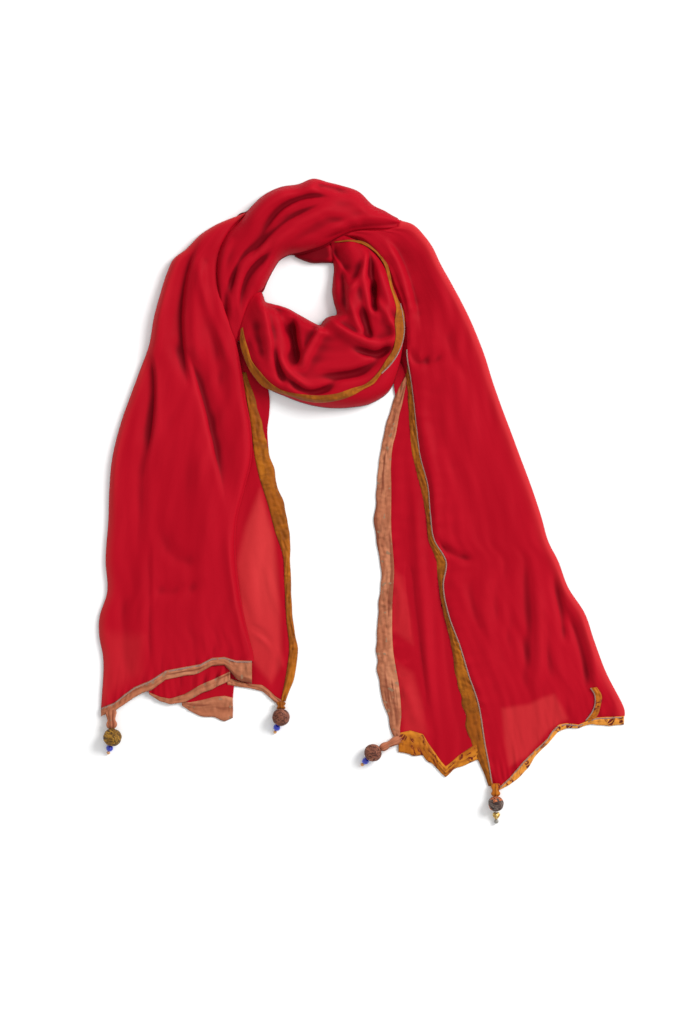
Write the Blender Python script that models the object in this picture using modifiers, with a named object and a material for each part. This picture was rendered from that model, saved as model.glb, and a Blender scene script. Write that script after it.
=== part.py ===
"""A long silk scarf, laid flat on a table with one loop wound at the neck.

The cloth is one rectangle with a coloured band sewn along each edge and a bead drop on each
corner. Sizes below are millimetres, seen from above: x to the right, y up, z off the table. The
origin is under the middle of the scarf. Each stretch that shows is a surface between two edge
curves, read from a short table with one row for each section across it.
"""

from collections import namedtuple

import bmesh
import bpy
import numpy as np

MM = 0.001
CENTRE = (0.6, 2.2, 0.0)  # where the middle of the scarf lies in the sizes below
WALL = 1.2  # thickness of a layer of cloth
BAND_WALL = 1.6  # a sewn-on band is cloth folded over the edge, so it is thicker
SEAM_GAP = 0.3
LOOSE_GAP = 0.9  # between the ochre band and the gathered cloth that it lies on
FLAT_ROUND = 4.0  # radius over which the edge of a flat layer turns down
BACK_ROUND = 6.0  # the same for the cloth behind the neck
PANEL_ROUND = 9.0  # for a folded edge of a tail
CORE_ROUND = 12.0  # for the hidden layers of the left tail
BUNDLE_ROUND = 17.0  # for the gathered loop
FOLD_INSET = 7.0  # a fold fades out over this distance from a stretch's edge
HEAD_BEND = 0.12  # the share of a stretch that bends to follow the curve of its head
HEM_BEND = 0.28  # the same for its hem
EDGE_CROWDING = 0.5  # how much closer the grid's columns stand near the edges, from 0 to 1

# One row for each section across a stretch: its two ends, how high the middle stands, how high
# each end stands, and the width of the band sewn to its edge.
Section = namedtuple("Section", "left_x left_y right_x right_y lift left_rim right_rim band")

# A fold runs through three points. Its height is negative where it is a trough. With a lean, the
# flank on its left, seen from its first point, is wider and the other steeper.
Fold = namedtuple("Fold", "x1 y1 x2 y2 x3 y3 height width lean")

# A point of a hem where the cloth ends, and how far the band sewn to it reaches beyond.
Hem = namedtuple("Hem", "x y depth")

NECK_BAND = [  # from right to left, the outer end of each section first
    Section(40, 310, 44, 301, 13, 1, 8, 0),
    Section(26, 318, 26, 299, 16, 1, 9, 0),
    Section(12, 325, 7, 299, 19, 1, 10, 0),
    Section(-4, 340, -13, 296, 22, 1, 10, 0),
    Section(-21, 346, -28, 289, 25, 1, 10, 0),
    Section(-37, 350, -42, 281, 27, 1, 10, 0),
    Section(-54, 354, -56, 276, 28, 1, 9, 0),
    Section(-70, 348, -68, 272, 28, 1, 7, 0),
    Section(-89, 345, -79, 270, 28, 1, 1, 0),
    Section(-108, 336, -91, 266, 27, 1, 1, 0),
    Section(-122, 323, -100, 259, 26, 1, 1, 0),
    Section(-134, 307, -106, 244, 24, 6, 1, 0),
    Section(-151, 289, -111, 232, 22, 9, 3, 0),
    Section(-159, 271, -121, 232, 20, 9, 10, 0),
    Section(-161.5, 254, -126.3, 221, 18, 9, 10, 0),
    Section(-160, 232, -129.2, 205, 16, 9, 10, 0),
    Section(-156, 210, -132.2, 194, 14, 9, 9, 0),
    Section(-148, 188, -137, 180, 11, 9, 8, 0),
    Section(-142, 176, -139, 173, 9, 8, 8, 0),
]

NECK_BACK = [  # from left to right, the end at the hole first
    Section(-74, 268, -73, 270.6, 4, 1, 3, 0),
    Section(-65, 264, -64, 271, 7, 1, 6, 0),
    Section(-55, 261, -55, 274, 9, 1, 8, 0),
    Section(-45, 261, -45, 277.6, 9, 1, 8, 0),
    Section(-37, 261, -38, 280, 9, 2, 8, 0),
]

COWL = [  # round the hole from its top right, the end at the hole first
    Section(-35, 283, -19, 291, 12, 6, 9, 2),
    Section(-34, 271, -2, 284, 15, 1, 9, 2),
    Section(-31, 256, 9, 276, 18, 1, 9, 2),
    Section(-32, 243, 20, 264, 20, 1, 9, 2),
    Section(-33, 230, 28, 251, 22, 1, 9, 2),
    Section(-31, 218, 34, 237, 23, 1, 9, 3),
    Section(-28, 207, 40, 221, 24, 1, 9, 4),
    Section(-29, 204, 44, 203, 25, 1, 9, 8),
    Section(-33, 203, 46, 184, 26, 1, 9, 9),
    Section(-39, 201, 44, 163, 26, 1, 9, 9),
    Section(-43, 197, 39, 141, 26, 1, 8, 8),
    Section(-47, 193, 29, 119, 26, 1, 1, 7),
    Section(-54, 196, 11, 107, 26, 1, 1, 7),
    Section(-63, 201, -13, 102, 26, 1, 1, 8),
    Section(-72, 206, -41, 102, 26, 1, 1, 9),
    Section(-81, 211, -65, 107, 26, 1, 1, 9),
    Section(-90, 214, -85, 114, 25, 1, 1, 9),
    Section(-99, 216, -102, 121, 24, 1, 1, 10),
    Section(-106, 218, -117, 133, 22, 1, 5, 9),
    Section(-108, 223, -127, 149, 19, 1, 6, 8),
    Section(-110, 228, -135, 175, 14, 2, 6, 6),
]
COWL_END = [(-110, 229), (-119.5, 230), (-126, 218.5), (-129, 204), (-132, 192), (-136, 178)]
# How far inside the loop's outer edge its ochre band lies, at even steps round the cowl
OCHRE_INSET = (1, 1, 1, 2, 2, 6, 12, 12, 6, 3, 2, 1, 2, 3)

LEFT_FRONT = [  # from the shoulder down to the hem
    Section(-139, 312, -136, 309, 11, 1, 8, 0),
    Section(-161, 303, -146, 297, 14, 1, 12, 0),
    Section(-178, 292, -155, 283, 15, 1, 12, 0),
    Section(-194, 276, -160, 267, 15, 1, 12, 0),
    Section(-207, 266, -161.6, 251, 15, 1, 12, 0),
    Section(-215, 249, -160.6, 233, 15, 1, 12, 0),
    Section(-222, 227, -155.6, 210, 14, 1, 12, 0),
    Section(-229, 201, -147.6, 188, 14, 1, 12, 0),
    Section(-234, 172, -141, 167, 13, 1, 11, 0),
    Section(-244, 144, -135, 141, 12, 1, 8, 0),
    Section(-254, 117, -130, 114, 11, 1, 5, 0),
    Section(-265, 86, -124, 83, 10, 1, 3.2, 0),
    Section(-275, 45, -123, 45, 10, 1, 3.2, 0),
    Section(-278, 12, -131, 12, 9, 1, 3.2, 0),
    Section(-279, -21, -139, -21, 9, 1, 3.2, 0),
    Section(-282, -65, -140, -65, 8.5, 1, 3.2, 0),
    Section(-280, -103, -135, -106, 8, 1, 3.2, 0),
    Section(-287, -126, -131, -128, 8, 1, 4, 0),
    Section(-287, -147, -126, -150, 7.5, 1, 4, 0),
    Section(-282, -172, -122, -165, 7, 1.5, 4, 0),
    Section(-284, -227, -121, -177, 6.2, 1.6, 5, 0),
]
LEFT_HEM = [
    Hem(-284, -227, 9),
    Hem(-272, -223, 8),
    Hem(-261, -214, 10),
    Hem(-250, -206, 10),
    Hem(-233, -199, 10),
    Hem(-216, -188, 9),
    Hem(-195, -184, 9),
    Hem(-178, -181, 8),
    Hem(-165, -174, 8),
    Hem(-151, -173, 8),
    Hem(-138, -177, 18),
    Hem(-121, -177, 26),
]

LEFT_CORE = [
    Section(-198, 246, -178, 246, 8, 1, 1, 0),
    Section(-212, 205, -168, 205, 7.5, 1, 1, 0),
    Section(-220, 165, -156, 165, 7, 1, 1, 0),
    Section(-239, 110, -158, 110, 5.8, 1, 1, 0),
    Section(-258, 45, -162, 45, 5.2, 1, 1, 0),
    Section(-264, -21, -170, -21, 4, 1, 1, 0),
    Section(-266, -85, -174, -85, 4, 1, 1, 0),
    Section(-268, -135, -176, -135, 3, 1, 1, 0),
]

LEFT_UPPER = [
    Section(-232, -141, -140, -141, 4.2, 4.2, 4.2, 0),
    Section(-233, -180, -140, -172, 4.2, 4.2, 4.2, 0),
    Section(-234, -212, -145, -186, 4.2, 4.2, 4.2, 0),
]
UPPER_HEM = [
    Hem(-234, -212, 1),
    Hem(-222, -217, 4),
    Hem(-211, -219, 5),
    Hem(-195, -214, 8),
    Hem(-178, -204, 9),
    Hem(-162, -197, 9),
    Hem(-145, -189, 9),
]

LEFT_LOWER = [
    Section(-196, -141, -139, -141, 1.2, 1.2, 1.2, 0),
    Section(-197, -185, -139, -180, 1.2, 1.2, 1.2, 0),
    Section(-198, -222, -142, -217, 1.2, 1.2, 1.2, 0),
]
LOWER_HEM = [
    Hem(-198, -223, 3),
    Hem(-189, -223, 9),
    Hem(-178, -221, 16),
    Hem(-162, -217, 22),
    Hem(-151, -216, 26),
    Hem(-142, -218, 21),
]

LEFT_SIDE = [
    Section(-151, 141, -133, 141, 1.6, 1.6, 1.6, 6),
    Section(-148, 111, -126, 111, 1.4, 1.4, 1.4, 9),
    Section(-145, 78, -121, 78, 1.2, 1.2, 1.2, 11),
    Section(-143, 50, -117, 50, 1.2, 1.2, 1.2, 14),
    Section(-148, 23, -111, 23, 1.2, 1.2, 1.2, 15),
    Section(-154, -5, -102, -5, 1.2, 1.2, 1.2, 16),
    Section(-158, -32, -95, -32, 1.2, 1.2, 1.2, 15),
    Section(-159, -60, -86, -60, 1.2, 1.2, 1.2, 7),
    Section(-152, -93, -84, -93, 1.2, 1.2, 1.2, 6),
    Section(-141, -131, -82, -131, 1.2, 1.2, 1.2, 6),
    Section(-136, -164, -79, -164, 1.2, 1.2, 1.2, 8),
    Section(-135, -188, -82, -188, 1.2, 1.2, 1.2, 9),
    Section(-134, -202, -88, -220, 1.2, 1.2, 1.2, 4),
]
SIDE_HEM = [
    Hem(-134, -201, 3),
    Hem(-121, -203, 4),
    Hem(-110, -204, 6),
    Hem(-103, -209, 6),
    Hem(-96, -216, 6),
    Hem(-88, -221, 5),
]

LEFT_INNER = [
    Section(-122, 128, -103, 118, 1.2, 1.2, 1.2, 0),
    Section(-115, 113, -102, 110, 1.2, 1.2, 1.2, 0),
    Section(-111, 97, -102, 95, 1.2, 1.2, 1.2, 0),
    Section(-107, 78, -104, 78, 1.2, 1.2, 1.2, 0),
    Section(-104.5, 66, -103.5, 66, 1.2, 1.2, 1.2, 0),
]

RIGHT_FRONT = [  # from under the neck band down to the hem
    Section(-17, 291, 48, 306, 13, 10, 1, 0),
    Section(0, 288, 58, 302, 13, 11, 1, 0),
    Section(11, 279, 68, 292, 13, 11, 1, 0),
    Section(22, 267, 78, 278, 13, 11, 1, 0),
    Section(30, 254, 86, 261, 12, 11, 1, 0),
    Section(36, 238, 96, 243, 12, 11, 1, 0),
    Section(43, 221, 108, 221, 12, 11, 1, 0),
    Section(47, 203, 118, 201, 12, 11, 1, 0),
    Section(49, 182, 127, 180, 11.5, 10, 1, 0),
    Section(48, 160, 135, 159, 10.5, 8, 1, 0),
    Section(51, 133, 144, 130, 9.5, 5, 1, 5),
    Section(53, 111, 152, 107, 9, 4, 1, 5),
    Section(59, 78, 164, 75, 8.5, 4, 1, 9),
    Section(64, 50, 174, 48, 8, 4, 1, 9),
    Section(72, 17, 186, 16, 8, 4, 1, 9),
    Section(75, -16, 197, -17, 7.5, 4, 1, 5),
    Section(79, -43, 205, -45, 7.5, 4, 1, 6),
    Section(92, -67, 216, -67, 7, 4, 1, 11),
    Section(89, -93, 226, -94, 7, 4, 1, 5),
    Section(95, -126, 245, -124, 7, 4, 1, 5),
    Section(107, -159, 255, -153, 6.5, 4, 1, 9),
    Section(117, -192, 268, -188, 6, 4, 1, 14),
    Section(129, -230, 286, -223, 5, 3.8, 1.2, 17),
    Section(135, -269, 289, -232, 4.4, 4, 1.4, 15),
    Section(139, -290, 289, -236, 3.4, 3.8, 1.6, 9),
    Section(143, -314, 288, -238, 1.8, 1.8, 1.8, 4),
]
RIGHT_HEAD = [(-17, 291), (-11, 294), (1, 296), (25, 296), (46, 298), (48, 306)]
RIGHT_HEM = [
    Hem(143, -314, 3),
    Hem(157, -306, 5),
    Hem(168, -301, 9),
    Hem(179, -293, 6),
    Hem(187, -282, 7),
    Hem(196, -273, 4),
    Hem(205, -262, 3),
    Hem(212, -249, 6),
    Hem(220, -243, 7),
    Hem(234, -241, 7),
    Hem(245, -240, 5),
    Hem(253, -238, 7),
    Hem(262, -239, 8),
    Hem(275, -239, 9),
    Hem(288, -238, 8),
]

RIGHT_BACK = [
    Section(43, 127, 119, 127, 1.2, 1.2, 1.2, 8),
    Section(39, 89, 146, 89, 1.2, 1.2, 1.2, 10),
    Section(32, 56, 158, 56, 1.2, 1.2, 1.2, 11),
    Section(31, 12, 170, 12, 1.2, 1.2, 1.2, 15),
    Section(31, -32, 183, -32, 1.2, 1.2, 1.2, 17),
    Section(34, -76, 201, -76, 1.2, 1.2, 1.2, 13),
    Section(32, -120, 224, -120, 1.2, 1.2, 1.2, 14),
    Section(33, -164, 240, -160, 1.2, 1.2, 1.2, 17),
    Section(40, -208, 254, -190, 1.2, 1.2, 1.2, 20),
    Section(42, -236, 262, -212, 1.2, 1.2, 1.2, 14),
    Section(40, -256, 266, -224, 1.2, 1.2, 1.2, 8),
]
BACK_HEM = [
    Hem(40, -256, 20),
    Hem(53, -252, 25),
    Hem(69, -256, 25),
    Hem(77, -272, 16),
    Hem(86, -282, 16),
    Hem(95, -288, 13),
    Hem(103, -281, 18),
    Hem(113, -274, 20),
    Hem(123, -268, 22),
    Hem(136, -261, 18),
    Hem(150, -237, 0),
    Hem(174, -224, 0),
    Hem(205, -216, 0),
    Hem(224, -228, 0),
    Hem(266, -224, 0),
]
PRINT_BACK_REACH = 0.52  # the share of the back hem that carries a band in sight

NECK_BAND_FOLDS = [
    Fold(-30, 334, -80, 312, -128, 262, 5, 9, 0),
    Fold(0, 322, -60, 306, -122, 240, -6, 5, 0.2),
    Fold(15, 313, -45, 300, -110, 262, 6, 9, -0.2),
    Fold(-40, 322, -82, 300, -118, 276, -6, 5, 0),
    Fold(-112, 300, -148, 264, -144, 205, -5, 5, 0),
    Fold(-128, 302, -154, 262, -148, 205, 4, 6, 0),
    Fold(-95, 300, -135, 258, -138, 195, 5, 7, 0),
    Fold(8, 306, -30, 300, -60, 282, -4, 6, 0),
]
COWL_FOLDS = [
    Fold(-106, 205, -104, 170, -96, 132, 5, 8, 0),
    Fold(-97, 195, -90, 162, -72, 134, 6, 7, 0.3),
    Fold(-72, 134, -45, 122, 8, 128, 5, 7, 0.3),
    Fold(-80, 190, -76, 168, -68, 152, -12, 9, 0),
    Fold(-62, 160, -50, 190, -28, 190, 5, 10, 0),
    Fold(-60, 141, -30, 138, 10, 140, -5, 5, 0),
    Fold(-30, 184, 6, 168, 22, 172, 5, 7, 0),
    Fold(-26, 176, 4, 160, 30, 168, -5, 5, 0),
    Fold(-12, 240, -6, 205, 20, 184, 6, 8, 0),
    Fold(10, 245, 12, 220, 24, 196, -8, 5, 0),
    Fold(0, 262, 8, 230, 28, 206, 4, 7, 0),
    Fold(-22, 262, -8, 245, -12, 222, -5, 5, 0),
]
LEFT_FOLDS = [
    Fold(-140, 296, -170, 262, -172, 205, 3, 7, 0),
    Fold(-172, 292, -196, 240, -190, 170, -4, 10, 0),
    Fold(-196, 149, -170, 90, -143, -20, 3.5, 11, 0.5),
    Fold(-160, 150, -150, 90, -140, 20, -3, 8, 0),
    Fold(-176, 230, -164, 170, -150, 110, 3, 8, 0),
    Fold(-237, 110, -246, 50, -240, -10, -3, 9, 0),
    Fold(-210, 200, -205, 150, -212, 60, 3, 14, 0),
    Fold(-250, -30, -252, -90, -240, -160, 2.5, 12, 0),
    Fold(-170, -10, -165, -70, -160, -130, 2, 12, 0),
    Fold(-128, 30, -140, 0, -143, -40, -2.5, 6, 0),
]
SIDE_FOLDS = [
    Fold(-121, -144, -104, -155, -86, -195, 2.5, 5, 0),
    Fold(-122, -30, -112, -90, -104, -150, 2, 9, 0),
]
RIGHT_FOLDS = [
    Fold(20, 284, 58, 250, 66, 170, -3, 8, 0),
    Fold(48, 300, 84, 250, 100, 200, 3, 11, 0),
    Fold(80, 190, 96, 110, 112, 20, 2.5, 12, 0),
    Fold(110, 60, 128, -40, 138, -140, -3, 8, 0),
    Fold(124, 60, 150, -50, 154, -160, 3, 9, 0),
    Fold(150, 40, 172, -60, 176, -180, -3, 9, 0),
    Fold(160, 0, 194, -80, 210, -160, 3, 10, 0),
    Fold(208, -60, 222, -120, 240, -200, -3.5, 6, 0),
    Fold(222, -100, 244, -150, 256, -232, 2.5, 8, 0),
    Fold(95, -60, 110, -120, 128, -190, 2, 9, 0),
]
BACK_FOLDS = [
    Fold(50, 30, 62, -110, 74, -250, 2.5, 7, 0),
    Fold(43, -100, 46, -140, 60, -180, 2, 6, 0),
]

# A bead drop: the middle of the gathered neck of cloth where it leaves the corner, then the bead.
Drop = namedtuple(
    "Drop", "name corner_x corner_y corner_z bead_x bead_y bead_radius neck_width colour"
)
DROPS = [
    Drop("left", -276, -235.5, 4.6, -274, -260, 10.5, 5.5, "olive"),
    Drop("side", -89, -225.5, 4.5, -89, -238, 10, 4.5, "brown"),
    Drop("back", 42, -267, 4.7, 12, -277, 10, 5, "brown"),
    Drop("front", 147, -316, 5.3, 147, -333, 9.5, 5, "dark"),
]
# Along a neck: the share of its length, then its half width and half height as shares of the
# width in the table above
NECK_SHAPE = ((0.0, 1.15, 0.55), (0.35, 0.8, 0.7), (0.7, 0.72, 0.72), (1.0, 0.9, 0.85))

TIP_RADIUS = 4.0  # the metal drop below the bead of the front corner

COLOURS = {  # base colour, roughness, metallic
    "red": ((0.47, 0.012, 0.022), 0.5, 0.0),
    "ochre": ((0.38, 0.14, 0.012), 0.6, 0.0),
    "peach": ((0.52, 0.19, 0.082), 0.7, 0.0),
    "print": ((0.50, 0.17, 0.035), 0.6, 0.0),
    "olive": ((0.20, 0.10, 0.012), 0.8, 0.0),
    "brown": ((0.17, 0.06, 0.035), 0.8, 0.0),
    "dark": ((0.07, 0.04, 0.035), 0.8, 0.0),
    "metal": ((0.6, 0.4, 0.16), 0.35, 1.0),
}


def clear_scene():
    for thing in list(bpy.data.objects):
        bpy.data.objects.remove(thing, do_unlink=True)


def metres(points):
    """Points of the tables as places in the scene, with the scarf's middle over the origin."""
    return (np.asarray(points) - CENTRE) * MM


def material(name):
    """One Principled material for each colour, made the first time it is asked for."""
    if name in bpy.data.materials:
        return bpy.data.materials[name]
    colour, roughness, metallic = COLOURS[name]
    made = bpy.data.materials.new(name)
    made.use_nodes = True
    shader = made.node_tree.nodes["Principled BSDF"]
    shader.inputs["Base Color"].default_value = (*colour, 1)
    shader.inputs["Roughness"].default_value = roughness
    shader.inputs["Metallic"].default_value = metallic
    return made


def add_object(name, mesh, colour, smooth=True):
    mesh.materials.append(material(colour))
    mesh.polygons.foreach_set("use_smooth", np.full(len(mesh.polygons), smooth))
    thing = bpy.data.objects.new(name, mesh)
    scarf.objects.link(thing)
    return thing


def smooth_rows(rows, count):
    """The rows of a table read at even steps of length along the middle of its sections.

    Between rows each column follows a cubic whose slope at a row comes from its two neighbours.
    """
    table = np.array(rows, float)
    middle = (table[:, 0:2] + table[:, 2:4]) / 2 if table.shape[1] > 4 else table[:, 0:2]
    steps = np.linalg.norm(np.diff(middle, axis=0), axis=1)
    places = np.concatenate([[0], np.cumsum(steps)])
    slopes = np.gradient(table, places, axis=0)
    wanted = np.linspace(0, places[-1], count)
    row = np.clip(np.searchsorted(places, wanted, side="right") - 1, 0, len(places) - 2)
    span = (places[row + 1] - places[row])[:, None]
    t = (wanted - places[row])[:, None] / span
    return (
        (2 * t**3 - 3 * t**2 + 1) * table[row]
        + (t**3 - 2 * t**2 + t) * span * slopes[row]
        + (3 * t**2 - 2 * t**3) * table[row + 1]
        + (t**3 - t**2) * span * slopes[row + 1]
    )


def soft_step(t):
    t = np.clip(t, 0, 1)
    return t * t * (3 - 2 * t)


def quarter_round(t):
    """A quarter circle that climbs from 0 at t = 0 to 1 at t = 1."""
    return np.sqrt(1 - (1 - np.clip(t, 0, 1)) ** 2)


def fold_height(x, y, fold):
    """How high one fold stands at each point.

    Its line is a parabola through its three points, as 12 short pieces. Across the line the
    height falls off as a bell, and along it the fold fades to nothing towards both ends.
    """
    t = np.linspace(0, 1, 13)
    ends = []
    for a, b, c in ((fold.x1, fold.x2, fold.x3), (fold.y1, fold.y2, fold.y3)):
        ends.append(a + (4 * b - 3 * a - c) * t + 2 * (a - 2 * b + c) * t * t)
    start = np.stack(ends, axis=-1)[:-1]
    way = np.diff(np.stack(ends, axis=-1), axis=0)
    offset = np.stack([x, y], axis=-1)[..., None, :] - start
    share = np.clip((offset * way).sum(-1) / (way**2).sum(-1), 0, 1)
    away = offset - share[..., None] * way
    distance = np.linalg.norm(away, axis=-1)
    nearest = distance.argmin(axis=-1)[..., None]
    side = way[..., 0] * away[..., 1] - way[..., 1] * away[..., 0]
    side = np.sign(np.take_along_axis(side, nearest, -1)[..., 0])
    along = (nearest + np.take_along_axis(share, nearest, -1))[..., 0] / 12
    reach = fold.width * (1 + fold.lean * side)
    bell = np.exp(-((distance.min(axis=-1) / reach) ** 2))
    return fold.height * bell * soft_step(4 * np.minimum(along, 1 - along))


def along_curve(points, shares):
    """Points at the given shares of the length of a line through a table's points."""
    line = np.array([point[:2] for point in points], float)
    steps = np.linalg.norm(np.diff(line, axis=0), axis=1)
    places = np.concatenate([[0], np.cumsum(steps)])
    wanted = np.asarray(shares) * places[-1]
    return np.stack([np.interp(wanted, places, line[:, i]) for i in (0, 1)], axis=-1)


def even_columns(across):
    """Shares from 0 to 1 that stand closer together near both ends."""
    s = np.linspace(0, 1, across + 1)
    return s - EDGE_CROWDING * np.sin(2 * np.pi * s) / (2 * np.pi)


def stretch(sections, folds, along, v, radius, head=None, hem=None, least=WALL + 0.1):
    """The top surface of a stretch of cloth: a grid of points, one row for each step along.

    A point lies at the share v between the two ends of its section. Its height is the section's
    lift, which turns down to the rim over the radius at each end, plus the folds. Near its head
    and hem the rows bend to follow those curves.
    """
    rows = smooth_rows(sections, along + 1)
    left, right = rows[:, None, 0:2], rows[:, None, 2:4]
    v = np.broadcast_to(v, (along + 1, np.shape(v)[-1]))
    plan = left + (right - left) * v[..., None]
    u = np.linspace(0, 1, along + 1)[:, None, None]
    ends = ((head, 0, 1 - u / HEAD_BEND), (hem, -1, 1 - (1 - u) / HEM_BEND))
    for curve, end, pull in ends:
        if curve:
            plan = plan + soft_step(pull) * (along_curve(curve, v[end]) - plan[end])
    width = np.linalg.norm(right - left, axis=-1)
    turn = np.minimum(radius, width / 2)
    lift, left_rim, right_rim = (rows[:, i, None] for i in (4, 5, 6))
    z = lift - (lift - left_rim) * (1 - quarter_round(v * width / turn))
    z = z - (lift - right_rim) * (1 - quarter_round((1 - v) * width / turn))
    inside = soft_step(np.minimum(v, 1 - v) * width / FOLD_INSET)
    for fold in folds:
        z = z + inside * fold_height(plan[..., 0], plan[..., 1], fold)
    inner = (v > 0) & (v < 1)
    z = np.where(inner, np.maximum(z, least), z)
    return np.concatenate([plan, z[..., None]], axis=-1)


def upward(grid):
    """The grid with its columns turned round if its faces would look down."""
    a, b = grid[1:, :-1] - grid[:-1, :-1], grid[:-1, 1:] - grid[:-1, :-1]
    facing = (a[..., 0] * b[..., 1] - a[..., 1] * b[..., 0]).sum()
    return grid if facing > 0 else grid[:, ::-1]


def grid_faces(rows, columns):
    """Corner numbers of the squares of a grid, anticlockwise from above for an upward grid."""
    corner = np.arange((rows - 1) * columns).reshape(rows - 1, columns)[:, :-1].ravel()
    return np.stack([corner, corner + columns, corner + columns + 1, corner + 1], axis=1)


def wall(name, grid, colour, thickness=WALL):
    """One layer of cloth: an open surface that Solidify thickens downwards."""
    grid = upward(grid)
    faces = grid_faces(*grid.shape[:2])
    mesh = bpy.data.meshes.new(name)
    mesh.from_pydata(metres(grid.reshape(-1, 3)).tolist(), [], faces.tolist())
    thing = add_object(name, mesh, colour)
    thicken = thing.modifiers.new("thickness", "SOLIDIFY")
    thicken.thickness = thickness * MM
    thicken.offset = -1
    return thing


def bundle(name, grid, colour):
    """Gathered layers as one solid: the surface on top, flat on the table below."""
    grid = upward(grid)
    rows, columns = grid.shape[:2]
    top = grid_faces(rows, columns)
    under = top[:, ::-1] + rows * columns
    number = np.arange(rows * columns).reshape(rows, columns)
    rim = np.concatenate([number[:, 0], number[-1, 1:], number[-2::-1, -1], number[0, -2:0:-1]])
    after = np.roll(rim, -1)
    sides = np.stack([rim, rim + rows * columns, after + rows * columns, after], axis=1)
    points = np.concatenate([grid.reshape(-1, 3), grid.reshape(-1, 3) * (1, 1, 0)])
    mesh = bpy.data.meshes.new(name)
    mesh.from_pydata(metres(points).tolist(), [], np.concatenate([top, under, sides]).tolist())
    made = bmesh.new()
    made.from_mesh(mesh)
    bmesh.ops.recalc_face_normals(made, faces=made.faces)
    made.to_mesh(mesh)
    made.free()
    return add_object(name, mesh, colour)


def edge_strip(edge, widths, way):
    """A strip beside an edge of a panel: the edge's own points moved out along the way given."""
    way = np.array([*way, 0.0])
    shares = np.linspace(0, 1, 3)[None, :, None]
    reach = SEAM_GAP + 0.1 + shares * np.asarray(widths)[:, None, None]
    strip = edge[:, None, :] + reach * way
    strip[..., 2] += BAND_WALL - WALL
    return strip


def side_band(name, panel, sections, side, way, colour, first_row=0.0, last_row=1.0):
    """The band sewn along one long edge of a panel."""
    rows = len(panel)
    widths = smooth_rows(sections, rows)[:, 7]
    kept = slice(int(first_row * rows), int(last_row * rows))
    strip = edge_strip(panel[kept, side], np.maximum(widths, 2)[kept], way)
    return wall(name, strip, colour, BAND_WALL)


def hem_band(name, panel, hem, colour, reach=1.0, v=None):
    """The band sewn along the hem of a panel, up to a share of its length."""
    table = np.array(hem, float)
    steps = np.linalg.norm(np.diff(table[:, :2], axis=0), axis=1)
    places = np.concatenate([[0], np.cumsum(steps)])
    depth = np.interp(v * places[-1], places, table[:, 2])
    kept = v <= reach
    strip = edge_strip(panel[-1][kept], depth[kept], (0, -1))
    return wall(name, strip, colour, BAND_WALL)


def loop_band(name, sections):
    """The ochre band that runs round the loop, lying on the cowl just inside its outer edge."""
    along = 52
    rows = smooth_rows(sections, along + 1)
    width = np.linalg.norm(rows[:, 2:4] - rows[:, 0:2], axis=1)
    steps = np.linspace(0, 1, along + 1)
    inset = np.interp(steps, np.linspace(0, 1, len(OCHRE_INSET)), OCHRE_INSET) + 1.5
    outer = 1 - inset / width
    inner = outer - np.maximum(rows[:, 7], 2) / width
    v = inner[:, None] + (outer - inner)[:, None] * np.linspace(0, 1, 4)
    grid = stretch(sections, COWL_FOLDS, along, v, BUNDLE_ROUND, hem=COWL_END)
    grid = grid + surface_normals(grid) * (LOOSE_GAP + BAND_WALL)
    return wall(name, grid[1:-1], "ochre", BAND_WALL)


def surface_normals(grid):
    """Unit normals of a grid that point up, from the steps between its neighbours."""
    n = np.cross(np.gradient(grid, axis=0), np.gradient(grid, axis=1))
    n /= np.linalg.norm(n, axis=-1, keepdims=True)
    return n * np.sign(n[..., 2:3])


def ball(name, place, radius, colour, rings=9):
    mesh = bpy.data.meshes.new(name)
    made = bmesh.new()
    bmesh.ops.create_uvsphere(made, u_segments=rings + 5, v_segments=rings, radius=radius * MM)
    made.to_mesh(mesh)
    made.free()
    thing = add_object(name, mesh, colour)
    thing.location = metres(place)
    return thing


def cloth_neck(drop, colour):
    """Cloth gathered into a neck: oval rings from the corner of the scarf to the bead."""
    start = np.array([drop.corner_x, drop.corner_y, drop.corner_z])
    bead = np.array([drop.bead_x, drop.bead_y, drop.bead_radius])
    way = (bead - start) / np.linalg.norm(bead - start)
    end = bead - way * (drop.bead_radius + 2 * SEAM_GAP)
    side = np.cross(way, (0, 0, 1))
    side /= np.linalg.norm(side)
    up = np.cross(side, way)
    turn = np.linspace(0, 2 * np.pi, 10, endpoint=False)
    rings = []
    for share, wide, high in NECK_SHAPE:
        middle = start + (end - start) * share
        across = np.outer(np.cos(turn), side) * wide * drop.neck_width
        rings.append(middle + across + np.outer(np.sin(turn), up) * high * drop.neck_width)
    points = np.concatenate(rings)
    points[:, 2] = np.maximum(points[:, 2], SEAM_GAP)
    number = np.arange(len(points)).reshape(len(rings), -1)
    after = np.roll(number, -1, axis=1)
    sides = np.stack([number[:-1], after[:-1], after[1:], number[1:]], axis=-1).reshape(-1, 4)
    mesh = bpy.data.meshes.new("wrap_" + drop.name)
    caps = [number[0].tolist(), number[-1].tolist()]
    mesh.from_pydata(metres(points).tolist(), [], sides.tolist() + caps)
    made = bmesh.new()
    made.from_mesh(mesh)
    bmesh.ops.recalc_face_normals(made, faces=made.faces)
    made.to_mesh(mesh)
    made.free()
    return add_object("wrap_" + drop.name, mesh, colour)


def build_loop():
    band = stretch(NECK_BAND, NECK_BAND_FOLDS, 30, even_columns(10), BUNDLE_ROUND)
    bundle("neck_band", band, "red")
    back = stretch(NECK_BACK, [], 6, even_columns(4), BACK_ROUND)
    bundle("neck_back", back, "red")
    cowl = stretch(COWL, COWL_FOLDS, 44, even_columns(14), BUNDLE_ROUND, hem=COWL_END)
    bundle("cowl", cowl, "red")
    loop_band("band_ochre_loop", COWL)


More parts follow.
